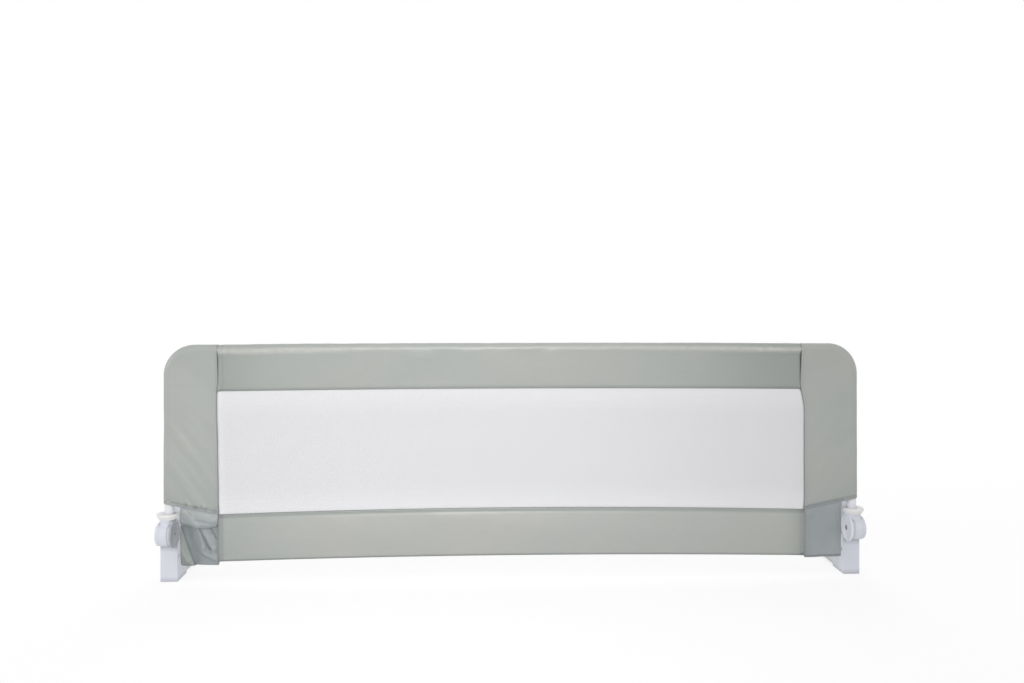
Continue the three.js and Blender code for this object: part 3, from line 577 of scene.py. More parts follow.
def topBandPoint(down, across):
    own = topBand
    x, y, z, normal, hem, fromLeft, fromRight = topPlace(down, across)
    side = 1.0 if down < 0.5 else -1.0
    crown = bell(z - own["crown"]["at"], own["crown"]["width"])
    settle = smoothStep(hem, *own["settles"])
    below = smoothStep(-z, *own["belowTube"])
    push = waves(own["puckers"], x, z, 0.0, 2.0 * side) * (own["beside"] + crown)
    push += waves(own["fine"], x, z, 4.0, side) * (own["fineBeside"] + crown)
    push += waves(own["waves"], x, z, 1.0, 5.0 * side) * (1 - own["crownCalm"] * crown)
    push *= settle
    room = max(0.0, abs(y) - own["seamRoom"])
    for end, away in (("left", fromLeft), ("right", fromRight)):
        sink = own["sink"][end]
        push -= sink["share"] * room * below * bell(away, sink["width"])
        push -= dent(own["endDraw"], away) * settle
    push += own["pulls"]["depth"] * pullsAt(x, z, fromRight)
    push -= dent(own["endGroove"], fromLeft) * below + dent(own["hemGroove"], hem)
    lift = archAt(x, own["rise"]) * smoothStep(z, *own["riseOver"])
    lift += archAt(x, own["hemArch"]) * fade(z, *own["hemArchOver"])
    radius = own["cornerRound"]
    inCorner = max(0.0, radius - max(0.0, min(fromLeft, fromRight)))
    drop = (radius - math.sqrt(radius ** 2 - inCorner ** 2)) * fade(hem, *own["cornerFades"])
    return (x, tubeY + y + normal[0] * push, tubeZ + z + normal[1] * push + lift - drop)


def topBandCloth(down, across):
    return (alongBand(across, tubeZ), sleeveProfile(down)[3])


def topBandSeam(down, across):
    own, lines, crestHighlight = topBand, topBand["lines"], topBand["crestHighlight"]
    x, y, z, normal, hem, fromLeft, fromRight = topPlace(down, across)
    shade = own["faceShade"] + own["stripShade"] * fade(hem, *own["strip"])
    for end, away in (("left", fromLeft), ("right", fromRight)):
        sink = own["sink"][end]
        shade += sink["shade"] * bell(away, sink["width"]) * smoothStep(-z, *own["sinkShadeFrom"])
        shade += lineShade(away, lines["seam"])
    shade += lineShade(hem - own["hemGroove"][0], lines["hem"]) + lineShade(hem, lines["edge"])
    shade += lineShade(fromLeft - own["endGroove"][0], lines["end"])
    shade -= own["pulls"]["shade"] * pullsAt(x, z, fromRight, own["pulls"]["shadeTurn"])
    above = z - between(crestHighlight["height"], x)
    uneven = 1 + waves(crestHighlight["uneven"], x, z, 0, 41)
    shade -= between(crestHighlight["bright"], x) * uneven * bell(above, crestHighlight["width"])
    shade += between(crestHighlight["above"], x) * smoothStep(above, *crestHighlight["edge"])
    return (x, hem, 1 - shade)


def buildTopBand():
    piece = clothGrid("top_band_cloth", topBand["rows"], topBand["columns"], topBandPoint, topBandCloth,
                      topBandSeam, materials["greyCloth"])
    weldAndThicken(piece, cover["cloth"])
    dressWith(piece, "top_band")
    length = alongBand(1, tubeZ) - alongBand(0, tubeZ)


# End panels: sleeves over the uprights and bends, with a slanted hem
endPanel = {
    "rows": 150, "columns": 110,
    "hemRisesTo": 240 * mm, "roll": (-0.5 * mm, 3 * mm),  # the edge is rolled in to the band and window
    "waves": (0.9 * mm, 70 * mm, 110 * mm), "wavesFrom": (0, 12 * mm),
    "fine": (0.3 * mm, 26 * mm, 38 * mm), "rimFade": (0, 5 * mm), "hemFade": (0, 3 * mm),
    "drapeSize": (13 * mm, 80 * mm), "fineShadeSize": (4.5 * mm, 45 * mm), "slantingTo": (220 * mm, 330 * mm),
    "slant": (0.8, 0.6),  # its cosine and sine
    "edgeWaves": (0.7 * mm, 45 * mm, 45 * mm), "edgeFrom": (0, 80 * mm), "edgeCalm": 20 * mm,
    "gatherSize": (6.5 * mm, 12 * mm), "gatherWidth": 7 * mm, "gathersFrom": (18 * mm, 40 * mm),
    "hemDepth": 5.2 * mm, "hemGroove": 1.3 * mm, "hemGrooveWidth": 1.3 * mm,
    "proud": (3 * mm, 0.7 * mm, 6 * mm),
    "edgeHalf": 0.4 * mm, "blends": (1.2 * mm, 0.8 * mm), "wander": (1.0 * mm, 9 * mm, 9 * mm),
    # painted shade along the hem and the seam, in the strip above the hem, in spots in the puckers above the
    # hem, low down and along the rim
    "hemLine": 0.20, "seamLine": 0.10, "strip": (3.5 * mm, 5 * mm),
    "flapEdge": 2 * mm, "wrapShort": 0.4 * mm, "weaveShift": 2.0,
    "shadeSpots": {"size": (5.5 * mm, 8 * mm), "at": 1.5 * mm, "width": 5.5 * mm, "from": (18 * mm, 34 * mm)},
    "lowShade": 0.045, "lowWidth": 45 * mm, "rimShade": 0.2, "rimWidth": 2.2 * mm,
    # in each end, puckerShade, edgeLine, rollShade and stripShade are painted shade, and drapeShade and
    # fineShade painted light and shade along the folds
    "left": {
        "gathers": 2.0 * mm, "drapes": 0.9 * mm, "tone": 0.968, "flapCloth": "foldedCloth",
        "puckerShade": 0.5, "drapeShade": 0.035, "fineShade": 0.02,
        "edgeLine": 0.03, "rollShade": 0.05, "stripShade": 0.08,
        "seamGroove": (7 * mm, 0.25 * mm, 1.5 * mm), "crease": (338 * mm, 0.35 * mm, 2.0 * mm),
    },
    "right": {
        "gathers": 0.4 * mm, "drapes": 0.25 * mm, "tone": 0.95, "flapCloth": "liningCloth",
        "puckerShade": 0.08, "drapeShade": 0.015, "fineShade": 0.008,
        "edgeLine": 0.0, "rollShade": 0.14, "stripShade": 0.0,
        "seamGroove": (7 * mm, 0.8 * mm, 1.5 * mm), "crease": (236 * mm, 0.1 * mm, 3.0 * mm),
    },
}
bendX = tubeX - cover["bendRadius"]
bendZ = tubeZ - cover["bendRadius"]


def outerEdge(z):
    if z <= bendZ:
        return outerX
    reach = cover["bendRadius"] + sleeve
    return bendX + math.sqrt(max(0.0, reach ** 2 - (z - bendZ) ** 2))


def sleeveHalf(x, z, seam):
    # half thickness of the end sleeve: round over the tube, tapering to the seams
    radius, seamHalf = sleeve, cover["seamHalf"]
    if x > bendX and z > bendZ:
        off = math.hypot(x - bendX, z - bendZ) - cover["bendRadius"]
    elif x > bendX:
        off = x - tubeX
    else:
        off = z - tubeZ
    pipe = math.sqrt(max(0.0, radius ** 2 - off ** 2))
    if off >= 0:
        return pipe
    side = seamHalf + (radius - seamHalf) * max(0.0, (x - seam) / (tubeX - seam))
    over = seamHalf + (radius - seamHalf) * max(0.0, (z - windowTop) / (tubeZ - windowTop))
    flatBlend, pipeBlend = endPanel["blends"]
    return min(radius, smoothMax(smoothMax(side, over, flatBlend), pipe, pipeBlend))


def bandHalf(z):  # half thickness of what the end panel meets at its seam
    bandShare, seamHalf = 0.86, cover["seamHalf"]
    return seamHalf + bandShare * (sleeve - seamHalf) * smoothStep(z, windowTop, tubeZ)


def roundRim(share, flatShare, rim):  # place on the quarter circle at the rim
    return rim + sleeve * math.sin((share - flatShare) / (1 - flatShare) * math.pi / 2)


def panelAcross(across, outer, seam):
    # from the front seam out round the edge and back to the rear seam
    share = 1 - abs(2 * across - 1)
    flatShare = 0.72
    inner = seam + endPanel["roll"][0]
    rim = outer - sleeve
    x = inner + (rim - inner) * share / flatShare if share < flatShare else roundRim(share, flatShare, rim)
    return x, (-1 if across < 0.5 else 1)


def panelDown(down):  # rows closer together at the hem and round the rim
    flatShare, even = 0.86, 0.45
    low, rim = hemInner, cover["top"] - sleeve
    if down >= flatShare:
        return roundRim(down, flatShare, rim)
    part = down / flatShare
    return low + (rim - low) * (even * part + (1 - even) * part ** 2)


def makePanel(end, sign, seed):
    own = endPanel[end]

    def slanting(size, x, z, side, seed):  # folds, and painted light and shade of finer folds, that run aslant in the lower half
        cosine, sine = endPanel["slant"]
        pattern = ripple(size, cosine * x - sine * z, sine * x + cosine * z, side, seed)
        return pattern * fade(z, *endPanel["slantingTo"])

    def placeOf(down, across):
        level = panelDown(down)
        seam = seamAtHeight(sign, level)
        x, side = panelAcross(across, outerEdge(level), seam)
        slope = fade(level, hemInner, endPanel["hemRisesTo"])
        return x, level + (hemAt(x) - hemInner) * slope, side, level, seam

    def pointAt(down, across):
        x, z, side, level, seam = placeOf(down, across)
        fromSeam = x - seam
        half = sleeveHalf(x, min(level, cover["top"]), seam)
        rolled = smoothStep(fromSeam, *endPanel["roll"]) ** 0.5
        tight = min(half, max(endPanel["edgeHalf"], bandHalf(level)))
        half = tight + (half - tight) * rolled
        rimFade = smoothStep(half, *endPanel["rimFade"])
        hemFade = smoothStep(half, *endPanel["hemFade"])
        push = waves(endPanel["waves"], x, z, side * 2.0, seed)
        push += waves(endPanel["fine"], x, z, side * 3.0, seed + 4)
        push += own["drapes"] * slanting(endPanel["drapeSize"], x, z, side, seed + 6)
        push *= rimFade * smoothStep(fromSeam, *endPanel["wavesFrom"])
        push += dent(endPanel["proud"], fromSeam) * rolled
        fromHem = z - hemAt(x) - endPanel["hemDepth"]
        gather = ripple(endPanel["gatherSize"], x, z, side, seed + 8)
        gather *= smoothStep(outerX - x, *endPanel["gathersFrom"])
        push += own["gathers"] * gather * bell(fromHem, endPanel["gatherWidth"]) * hemFade
        push -= endPanel["hemGroove"] * bell(fromHem, endPanel["hemGrooveWidth"]) * hemFade
        push -= dent(own["seamGroove"], fromSeam) + dent(own["crease"], z) * rimFade
        edge = waves(endPanel["edgeWaves"], z, x, 0, seed + 9)
        stretch = smoothStep(fromSeam, *endPanel["edgeFrom"])
        atTop = smoothStep(level, bendZ, cover["top"])
        return (sign * (x + edge * stretch * (1 - atTop)),
                tubeY + side * (half + push),
                z + edge * atTop * (1 - bell(fromSeam, endPanel["edgeCalm"])))

    def clothAt(down, across):
        x, z, side, level, seam = placeOf(down, across)
        return (side * (outerX - x) + endPanel["weaveShift"] * sign, level)

    def seamAt(down, across):
        x, z, side, level, seam = placeOf(down, across)
        above, fromSeam, shadeSpots = z - hemAt(x), x - seam, endPanel["shadeSpots"]
        folded = above - endPanel["hemDepth"]
        wander = waves(endPanel["wander"], x, 0, 0, seed + 3)
        shade = lineShade(folded - wander, endPanel["hemLine"]) + lineShade(fromSeam, endPanel["seamLine"])
        shadeSpot = max(0.0, ripple(shadeSpots["size"], x, z, side, seed + 5))
        shadeSpot *= bell(folded - shadeSpots["at"], shadeSpots["width"]) * smoothStep(outerX - x, *shadeSpots["from"])
        beyond = smoothStep(x, flapHigh.x - endPanel["flapEdge"], flapHigh.x + endPanel["flapEdge"])
        strip = own["rollShade"] * beyond + own["stripShade"] * (1 - beyond)
        shade += lineShade(above, own["edgeLine"]) + own["puckerShade"] * shadeSpot
        shade += strip * fade(above, *endPanel["strip"])
        shade += endPanel["lowShade"] * bell(above, endPanel["lowWidth"])
        shade += endPanel["rimShade"] * bell(outerEdge(level) - x, endPanel["rimWidth"])
        shade -= own["fineShade"] * slanting(endPanel["fineShadeSize"], x, z, side, seed + 11)
        shade -= own["drapeShade"] * slanting(endPanel["drapeSize"], x, z, side, seed + 6)
        tone = own["tone"] - shade
        return (x, above, tone) if above < fromSeam else (z, fromSeam, tone)

    return pointAt, clothAt, seamAt


def buildPanel(end, sign, seed):
    piece = clothGrid(f"end_panel_cloth_{end}", endPanel["rows"], endPanel["columns"],
                      *makePanel(end, sign, seed), materials["greyCloth"])
    # where the flap is sewn on, its cloth wraps the hem
    piece.data.materials.append(materials[endPanel[end]["flapCloth"]])
    wrap = endPanel["hemDepth"] - endPanel["wrapShort"]
    for face in piece.data.polygons:
        x, y, z = face.center
        if z - hemAt(x) < wrap and abs(x) < flapHigh.x:
            face.material_index = 1
    weldAndThicken(piece, cover["cloth"], -1.0 if sign > 0 else 1.0)
    dressWith(piece, f"end_panel_{end}")


# Bottom band: two layers rolled over at the lower edge and sewn to the window
bottomBand = {
    "rows": 64, "columns": 280,
    "half": 1.4 * mm, "middle": 2.2 * mm, "rolledFrom": 0.9, "rollHeight": 3 * mm,
    "waves": (0.8 * mm, 120 * mm, 50 * mm), "fine": (0.25 * mm, 30 * mm, 22 * mm),
    "wavesFromTop": (2 * mm, 16 * mm), "wavesFromLow": (0, 12 * mm),
    "hemGroove": (6.0 * mm, 0.9 * mm, 1.4 * mm),
    "lowGroove": (4.5 * mm, 0.3 * mm, 1.4 * mm),
    "leftGroove": (8.5 * mm, 0.9 * mm, 1.5 * mm),
    "rightGroove": (6 * mm, 0.5 * mm, 2 * mm),
    # painted shade along the lines and grooves, on the strips, at the left end, beside the right seam and in
    # the lower right corner
    "lines": {"top": 0.22, "hem": 0.10, "low": 0.14, "leftGroove": 0.08, "left": 0.12},
    "stripShade": 0.12, "stripEdge": 1 * mm, "leftStripShade": 0.17, "leftStripEdge": 2 * mm,
    "leftWideShade": (0, 0.07, 80 * mm), "weaveShift": 4.0,
    "rightFoldShades": [(4 * mm, 0.145, 4 * mm), (0, 0.145, 22 * mm)],
    "rightCornerShade": (2 * mm, 0.6, 4 * mm),
}


def bandPlace(down, across):
    # 0 at the window in front, 0.5 at the lower edge, 1 at the window behind
    side = -1 if down < 0.5 else 1
    fall = 1 - abs(2 * down - 1)
    x = alongBand(across, cover["bandLow"])
    top = windowLow + archAt(x, cover["windowArch"])
    low = cover["bandLow"] + archAt(x, cover["bandArch"])
    rolled = bottomBand["rolledFrom"]  # from here the cloth turns under
    z = low + (top - low) * (1 - fall)
    if fall >= rolled:
        z = low + (top - low) * (1 - rolled) * math.cos((fall - rolled) / (1 - rolled) * math.pi / 2)
    return x, z, side, fall, top, low


def bandPoint(down, across):
    own = bottomBand
    x, z, side, fall, top, low = bandPlace(down, across)
    fromTop, fromLow = top - z, z - low
    fromLeft, fromRight = toSeams(x, z)
    belly = own["half"] + own["middle"] * math.sin(math.pi * fall)
    roll = math.sqrt(max(0.0, min(1.0, fromLow / own["rollHeight"]))) if fall >= own["rolledFrom"] else 1.0
    inner = smoothStep(fromTop, *own["wavesFromTop"]) * smoothStep(fromLow, *own["wavesFromLow"])
    push = waves(own["waves"], x, z, side, 7)
    push += waves(own["fine"], x, z, side * 2, 8)
    push -= dent(own["leftGroove"], fromLeft) + dent(own["rightGroove"], fromRight)
    push = push * inner - dent(own["hemGroove"], fromTop) - dent(own["lowGroove"], fromLow)
    return (x, tubeY + side * max(0.0, belly + push) * roll, z)


def bandCloth(down, across):
    x, z, side = bandPlace(down, across)[:3]
    return (x, side * (z - cover["bandLow"]) + bottomBand["weaveShift"])


def bandSeam(down, across):
    own, lines = bottomBand, bottomBand["lines"]
    x, z, side, fall, top, low = bandPlace(down, across)
    fromTop, fromLow = top - z, z - low
    fromLeft, fromRight = toSeams(x, z)
    hem, end = own["hemGroove"][0], own["leftGroove"][0]
    shade = lineShade(fromTop, lines["top"]) + lineShade(fromTop - hem, lines["hem"])
    shade += lineShade(fromLow, lines["low"]) + lineShade(fromLeft, lines["left"])
    shade += lineShade(fromLeft - end, lines["leftGroove"])
    shade += own["stripShade"] * fade(fromTop, hem - own["stripEdge"], hem)
    shade += own["leftStripShade"] * fade(fromLeft, end - own["leftStripEdge"], end)
    shade += dent(own["leftWideShade"], fromLeft) + sum(dent(fold, fromRight) for fold in own["rightFoldShades"])
    shade += dent(own["rightCornerShade"], fromRight) * bell(fromLow, own["rightCornerShade"][2])
    return (x, min(fromTop, fromLow), 1 - shade)


def buildBottomBand():
    piece = clothGrid("bottom_band_cloth", bottomBand["rows"], bottomBand["columns"], bandPoint, bandCloth,
                      bandSeam, materials["greyCloth"])
    weldAndThicken(piece, cover["cloth"], 1.0)
    dressWith(piece, "bottom_band")
    length = alongBand(1, cover["bandLow"]) - alongBand(0, cover["bandLow"])


# Window: a fine mesh held in the hems round it
window = {
    "rows": 60, "columns": 220, "tuck": 3 * mm, "thickness": 0.4 * mm,
    "billow": (0.8 * mm, 200 * mm, 100 * mm),
    "pleats": (1.1 * mm, 19 * mm, 300 * mm), "pleatsFrom": 330 * mm,  # upright, at the right
    "shades": {  # painted shade: the middle and the right are a little darker than the edges, and a strip beside the left seam is lighter
        "middle": 0.08, "fade": 0.25, "right": 0.035, "over": (50 * mm, 450 * mm), "lowShare": 0.4,
        "leftStrip": (5 * mm, 0.06, 5 * mm),
    },
}


def windowPlace(down, across):
    low = windowLow - window["tuck"]
    high = windowTop + window["tuck"]
    x = alongBand(across, low + (high - low) * down)
    low += archAt(x, cover["windowArch"])
    high += archAt(x, topBand["hemArch"])
    return x, low + (high - low) * down


def windowPoint(down, across):
    x, z = windowPlace(down, across)
    push = waves(window["billow"], x, z, 0, 12) * math.sin(math.pi * across)
    push += waves(window["pleats"], x, z, 0, 15) * smoothStep(x, window["pleatsFrom"], seamX)
    return (x, tubeY + push * math.sin(math.pi * down), z)


def windowSeam(down, across):
    x, z = windowPlace(down, across)
    own = window["shades"]
    inner = smoothStep(down, 0.0, own["fade"]) * fade(down, 1 - own["fade"], 1.0)
    height = own["lowShare"] + (1 - own["lowShare"]) * down
    tone = 1 - own["middle"] * inner - own["right"] * smoothStep(x, *own["over"]) * height
    return (0, 1, tone + dent(own["leftStrip"], toSeams(x, z)[0]))


def buildWindow():
    piece = clothGrid("mesh_window", window["rows"], window["columns"], windowPoint, windowPlace,
                      windowSeam, materials["whiteMesh"])
    weldAndThicken(piece, window["thickness"], 0.0)
    dressWith(piece, "mesh_panel")
    length = alongBand(1, windowLow) - alongBand(0, windowLow)


# Corner flaps: the back layer that hangs below the slanted hem. Places are shares across from the seam and
# up from the lower edge; a fold is (how far forward, its width as a share, its path)
flaps = {
    "left": {  # creased and partly turned over
        "overhang": {"line": [(0.0, 0.79), (0.08, 0.76), (0.243, 0.707), (0.55, 0.667), (0.946, 0.676),
                              (1.0, 0.68)], "forward": 6.0 * mm},
        "turnedOver": {"line": [(0.0, 0.61), (0.075, 0.667), (0.32, 0.80), (0.60, 0.946), (0.66, 1.0)],
                       "forward": 5.0 * mm, "to": 0.6},
        "sharpFolds": [
            (-2.2 * mm, 0.018, [(0.585, 0.813), (0.225, 0.796), (0.05, 0.856)]),
            (-2.0 * mm, 0.02, [(0.946, 0.988), (0.73, 0.887)]),
            (-4.5 * mm, 0.03, [(0.513, 0.65), (0.387, 0.475), (0.243, 0.285)]),
            (-3.0 * mm, 0.025, [(0.225, 0.68), (0.08, 0.51)]),
            (-2.6 * mm, 0.04, [(0.50, 0.19), (0.225, 0.085), (0.04, 0.05)]),
        ],
        "softFolds": [
            (1.3 * mm, 0.05, [(0.86, 0.93), (0.62, 0.76)]),
            (-3.0 * mm, 0.12, [(0.85, 0.62), (0.60, 0.08)]),
            (3.5 * mm, 0.07, [(0.53, 0.64), (0.40, 0.35)]),
            (3.0 * mm, 0.07, [(0.40, 0.60), (0.16, 0.30)]),
            (3.4 * mm, 0.05, [(0.46, 0.24), (0.225, 0.15), (0.06, 0.13)]),
            (1.6 * mm, 0.06, [(0.46, 0.33), (0.42, 0.31)]),
        ],
        "crumple": 0.7 * mm, "inside": 2.4 * mm, "edgeSway": 0.6 * mm, "lift": 0.0, "narrowing": 2.2 * mm,
        "corner": 5 * mm, "tone": 0.96,
        "lowCorner": {"line": [(0.6, -0.03), (0.66, 0.0), (0.836, 0.08), (1.0, 0.24)], "shade": 0.17},
    },
    "right": {  # smooth
        "overhang": None, "turnedOver": None, "sharpFolds": [], "lowCorner": None,
        "softFolds": [
            (0.7 * mm, 0.25, [(0.9, 0.9), (0.3, 0.5)]),
            (-0.7 * mm, 0.07, [(0.2, 0.8), (0.1, 0.1)]),
        ],
        "crumple": 0.35 * mm, "inside": 1.5 * mm, "edgeSway": 0.4 * mm, "lift": 2.2 * mm, "narrowing": 0.0,
        "corner": 2 * mm, "tone": 1.0,
    },
}
flapShape = {
    "rows": 110, "columns": 92, "tuck": 8 * mm, "low": flapLow.z, "outer": flapHigh.x, "seamGap": 0.4 * mm,
    "seamCorner": 3 * mm, "seamDepth": 0.7 * mm, "edgeDepth": 6.0 * mm, "bendsFrom": 0.72,
    "hemNarrowing": 3.8 * mm, "freeFrom": 0.1, "flatExtra": 12 * mm,
    "lowHem": (5 * mm, 0.7 * mm, 1.2 * mm), "sideHem": (5 * mm, 0.5 * mm, 1.2 * mm),
    "crumpleSize": (1 / 4, 1 / 5), "fineSize": (1 / 10, 1 / 11), "fineShare": 0.5,
    "swaySize": (22 * mm, 22 * mm), "rise": (0.6 * mm, 25 * mm, 25 * mm),
    "hangEdge": 0.014, "hangFades": (0.7, 0.3),  # by this share, over this share of the height
    "turnedEdge": 0.02, "turnedEnd": 0.06, "weaveShift": 6.0,
    "hollowShade": 0.035, "ridgeHighlight": 0.012,  # painted shade in the hollows and painted highlight on the ridges, for each millimetre back or forward
    "lines": {"low": 0.26, "seam": 0.12, "side": 0.08}, "lowCornerEdge": (-0.01, 0.02),
}


def distanceToPath(point, path):
    distances = []
    for start, end in zip(path, path[1:]):
        line, offset = Vector(end) - Vector(start), Vector(point) - Vector(start)
        share = min(1.0, max(0.0, offset.dot(line) / line.length_squared))
        distances.append((offset - line * share).length)
    return min(distances)


def turnedShare(setup, across, up):  # 1 where the free edge is turned over, 0 elsewhere
    turned, edge, end = setup["turnedOver"], flapShape["turnedEdge"], flapShape["turnedEnd"]
    if not turned or up > turned["to"] + end:
        return 0.0
    outside = across - between(turned["line"], up, eased=False)
    return smoothStep(outside, 0, edge) * fade(up, turned["to"] - edge, turned["to"] + end)


def foldForward(setup, across, up):
    total = 0.0
    for forward, width, path in setup["sharpFolds"]:
        total += forward * math.exp(-distanceToPath((across, up), path) / width)
    for forward, width, path in setup["softFolds"]:
        total += forward * bell(distanceToPath((across, up), path), width)
    return total


def flapForward(setup, across, up, seed):
    forward = foldForward(setup, across, up)
    hang = setup["overhang"]
    if hang:
        above, edge = up - between(hang["line"], across, eased=False), flapShape["hangEdge"]
        lost, reach = flapShape["hangFades"]
        kept = 1 - lost * smoothStep(above, 0, reach)
        forward += hang["forward"] * smoothStep(above, -edge, edge) * kept
    if setup["turnedOver"]:
        forward += setup["turnedOver"]["forward"] * turnedShare(setup, across, up)
    crumple = ripple(flapShape["crumpleSize"], across, up, 0, seed)
    crumple += flapShape["fineShare"] * ripple(flapShape["fineSize"], across, up, 0, seed + 4)
    return forward + setup["crumple"] * crumple


def makeFlap(end, sign):
    setup, own = flaps[end], flapShape
    inner = seamX + own["seamGap"]

    def placeOf(down, across):
        x = inner + (own["outer"] - inner) * across
        top = hemAt(x) + own["tuck"]
        z = own["low"] + (top - own["low"]) * down
        return x, z, min(1.0, (z - own["low"]) / (hemAt(x) - own["low"]))

    def pointAt(down, across):
        x, z, up = placeOf(down, across)
        back = own["seamDepth"] + (own["edgeDepth"] - own["seamDepth"]) * across
        free = smoothStep(across, 0, own["freeFrom"]) * smoothStep(1 - up, 0, own["freeFrom"])
        hem = dent(own["lowHem"], z - own["low"]) + dent(own["sideHem"], own["outer"] - x)
        atHem = smoothStep(up, own["bendsFrom"], 1.0)
        inSleeve = sleeveHalf(x, z, seamX) - setup["inside"] - max(0.0, z - hemAt(x))
        y = tubeY + back * (1 - atHem) - max(0.0, inSleeve) * atHem
        y -= free * (flapForward(setup, across, up, 20 + sign) - hem)
        sway = setup["edgeSway"] * ripple(own["swaySize"], z, 0, 0, 30 + sign) * across
        narrow = setup["narrowing"] * across * (1 - up) + own["hemNarrowing"] * across * atHem
        rise = setup["lift"] + waves(own["rise"], x, 0, 0, 33 + sign)
        for away, radius in ((own["outer"] - x, setup["corner"]), (x - inner, own["seamCorner"])):
            rise += radius - math.sqrt(radius ** 2 - max(0.0, radius - away) ** 2)
        return (sign * (x + sway - narrow), y, z + rise * (1 - down))

    def clothAt(down, across):
        x, z, up = placeOf(down, across)
        return (sign * x, z + own["weaveShift"])

    def seamAt(down, across):
        x, z, up = placeOf(down, across)
        low, side, seam = z - own["low"], own["outer"] - x, x - inner
        nearest, lines = min(low, side, seam), own["lines"]
        shade = lineShade(low - setup["lift"], lines["low"])
        shade += lineShade(seam, lines["seam"]) + lineShade(side, lines["side"])
        if setup["lowCorner"]:
            under = between(setup["lowCorner"]["line"], across, eased=False) - up
            shade += setup["lowCorner"]["shade"] * smoothStep(under, *own["lowCornerEdge"])
        fold = foldForward(setup, across, up) / mm
        shade += own["hollowShade"] * max(0.0, -fold) - own["ridgeHighlight"] * max(0.0, fold)
        tone = setup["tone"] - shade
        return (x, low, tone) if nearest == low else (z, nearest, tone)

    return pointAt, clothAt, seamAt


def buildFlap(end, sign):
    rows, columns = flapShape["rows"], flapShape["columns"]
    piece = clothGrid(f"corner_flap_cloth_{end}", rows, columns, *makeFlap(end, sign),
                      materials["liningCloth"])
    piece.data.materials.append(materials["turnedCloth"])
    piece.data.materials.append(materials["foldedCloth"])
    hang = flaps[end]["overhang"]
    for index, face in enumerate(piece.data.polygons):
        row, column = divmod(index, columns)
        across, up = (column + 0.5) / columns, (row + 0.5) / rows
        if turnedShare(flaps[end], across, up) > 0.5:
            face.material_index = 1
        elif hang and up > between(hang["line"], across, eased=False):
            face.material_index = 2
    weldAndThicken(piece, cover["cloth"], 0.0)
    dressWith(piece, f"corner_flap_{end}")


buildTopBand()
for end, sign, seed in (("left", -1, 1.0), ("right", 1, 3.0)):
    buildPanel(end, sign, seed)
buildBottomBand()
buildWindow()
for end, sign in (("left", -1), ("right", 1)):
    buildFlap(end, sign)
print("cloth pieces made")

# Hard pieces: the solids of the frame with rounded edges, and painted shades that are darker, or brighter
# where they are below zero
hubShades = {  # at the hubs' inner ends, and on top of the necks inside the rings
    "over": (582.6 * mm, 591.6 * mm), "left": 0.46, "right": -0.12, "neckFrom": 106 * mm, "neck": -0.22,
}
bracketShades = {
    "wall": {"back": (26 * mm, 34 * mm), "up": (24 * mm, 34 * mm), "by": -0.5},  # painted light: brighter than its colour
    "innerSide": {"left": -0.03, "right": -0.11},
    "underHub": {"up": (51.5 * mm, 60.5 * mm), "by": 0.26},  # the hub's shade on the post
}
dressed = {
    "bracket": {"finish": "whitePlastic", "slot": "white_plastic", "body": "base", "round": 1.2 * mm},
    "hinge_hub": {"finish": "hubPlastic", "slot": "white_plastic", "body": "rail", "round": 0.35 * mm},
    "hub_cap": {"finish": "hubPlastic", "slot": "white_plastic", "body": "rail", "round": 0},
    "lock_ring": {"finish": "ringPlastic", "slot": "ring_plastic", "body": "lock_{end}", "round": 0.5 * mm},
    "arm_tube": {"finish": "armPaint", "slot": "arm_steel", "body": "base", "round": 0},
    "arm_cap": {"finish": "whitePlastic", "slot": "white_plastic", "body": "base", "round": 1.0 * mm},
    "corner_tube": {"finish": "paintedSteel", "slot": "painted_steel", "body": "rail", "round": 0},
    # a spring gets a mesh of its own; the joint of the piece under it and its travel are given, and travel
    # is not read here
    "lock_spring": {"finish": "zincSteel", "slot": "zinc_steel", "body": "rail", "round": 0,
                    "joint": "lock_slide_{end}", "travel": 4 * mm},
    "snap_spring": {"finish": "zincSteel", "slot": "zinc_steel", "body": "rail", "round": 0,
                    "joint": "button_press_{end}", "travel": 2.2 * mm},
}
plainFinish = {
    "platePaint": ["hinge_plate"], "whitePlastic": ["spring_plug"],
    "zincSteel": ["plate_pin", "hinge_bolt", "hinge_nut", "tube_screw", "lock_pin", "lock_plunger",
                  "joint_spigot", "spigot_rivet", "snap_button", "arm_screw"],
}
facing = {"up": 0.7, "front": 0.7, "inwards": 0.5}  # how far a face is turned that way to be shaded
smoothing = {"flatAngle": 1.0, "sharpAngle": 32, "bevelAngle": 38, "bevelSteps": 3}  # angles in degrees


def shadeAt(node, place, normal):
    end = "left" if place.x < 0 else "right"
    if node.startswith("hinge_hub"):
        if place.z > hubShades["neckFrom"] and normal.z > facing["up"]:
            return hubShades["neck"]
        return hubShades[end] * fade(abs(place.x), *hubShades["over"])
    if not node.startswith("bracket"):
        return 0.0
    under, wall = bracketShades["underHub"], bracketShades["wall"]
    share = smoothStep(place.y - tubeY, *wall["back"]) * smoothStep(place.z, *wall["up"])
    if share > 0:
        return wall["by"] * share
    if normal.x * place.x < -facing["inwards"] * abs(place.x):
        return bracketShades["innerSide"][end]
    if normal.y < -facing["front"]:
        return under["by"] * smoothStep(place.z, *under["up"])
    return 0.0


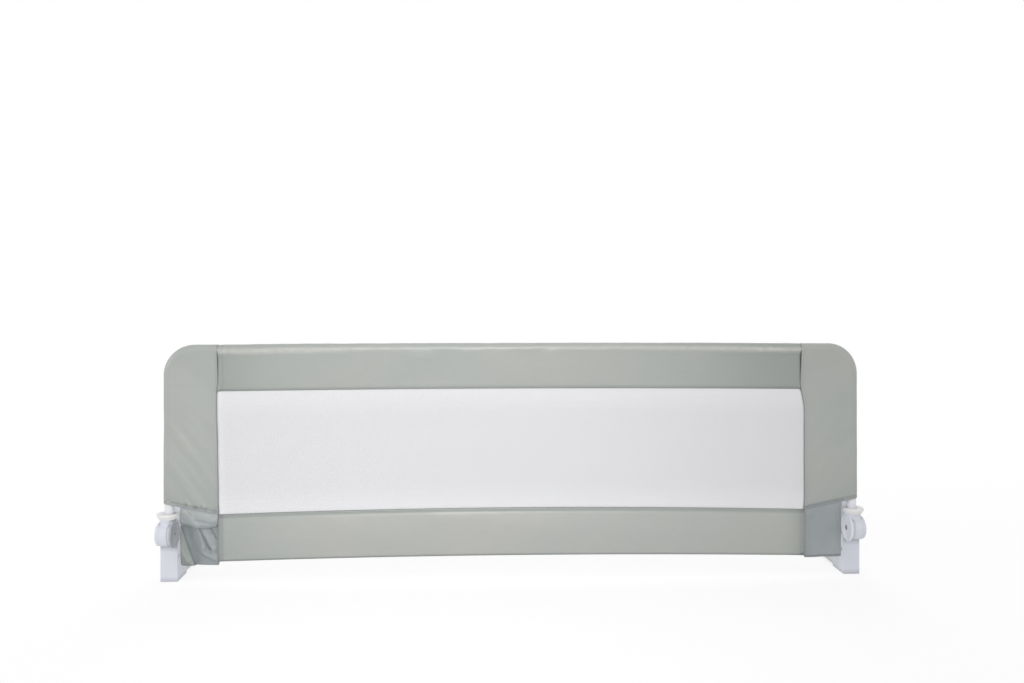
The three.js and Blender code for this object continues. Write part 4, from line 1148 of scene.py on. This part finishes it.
def cutForShades(bm):  # edges where a bracket's painted shades begin and end
    under, wall = bracketShades["underHub"], bracketShades["wall"]
    low, high = under["up"]
    heights = (*wall["up"], low, (low + high) / 2, high)
    cuts = [((0, 0, height), (0, 0, 1)) for height in heights]
    cuts += [((0, tubeY + back, 0), (0, 1, 0)) for back in wall["back"]]
    for point, normal in cuts:
        everything = bm.verts[:] + bm.edges[:] + bm.faces[:]
        bmesh.ops.bisect_plane(bm, geom=everything, plane_co=point, plane_no=normal)


def dressNode(node, setup, end):
    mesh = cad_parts[node].data.copy()
    mesh.name = node + "_dressed"
    mesh.materials.clear()
    mesh.materials.append(materials[setup["finish"]])
    bm = bmesh.new()
    bm.from_mesh(mesh)
    bmesh.ops.remove_doubles(bm, verts=bm.verts, dist=0.01 * mm)
    flatAngle = math.radians(smoothing["flatAngle"])
    bmesh.ops.dissolve_limit(bm, angle_limit=flatAngle, verts=bm.verts, edges=bm.edges)
    if node.startswith("bracket"):
        cutForShades(bm)
    bm.to_mesh(mesh)
    bm.free()
    shade = mesh.attributes.new("shade", "FLOAT", "CORNER")
    for face in mesh.polygons:
        for corner in face.loop_indices:
            place = mesh.vertices[mesh.loops[corner].vertex_index].co
            shade.data[corner].value = shadeAt(node, place, face.normal)
    piece = addObject(node + "_dressed", mesh)
    mesh.polygons.foreach_set("use_smooth", [True] * len(mesh.polygons))
    mesh.set_sharp_from_angle(angle=math.radians(smoothing["sharpAngle"]))
    if setup["round"]:
        bevel = piece.modifiers.new("rounded", "BEVEL")
        bevel.width = setup["round"]
        bevel.segments = smoothing["bevelSteps"]
        bevel.limit_method = "ANGLE"
        bevel.angle_limit = math.radians(smoothing["bevelAngle"])
        bevel.harden_normals = True
    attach(piece, setup["body"].format(end=end))
    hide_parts(node)
    if "joint" in setup:
        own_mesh(piece)


def paintNode(node, finish):
    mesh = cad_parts[node].data
    mesh.materials.clear()
    mesh.materials.append(materials[finish])


for end in ("left", "right"):
    for name, setup in dressed.items():
        dressNode(f"{name}_{end}", setup, end)
    for finish, names in plainFinish.items():
        for name in names:
            paintNode(f"{name}_{end}", finish)
paintNode("top_tube", "paintedSteel")
print("hard pieces dressed")
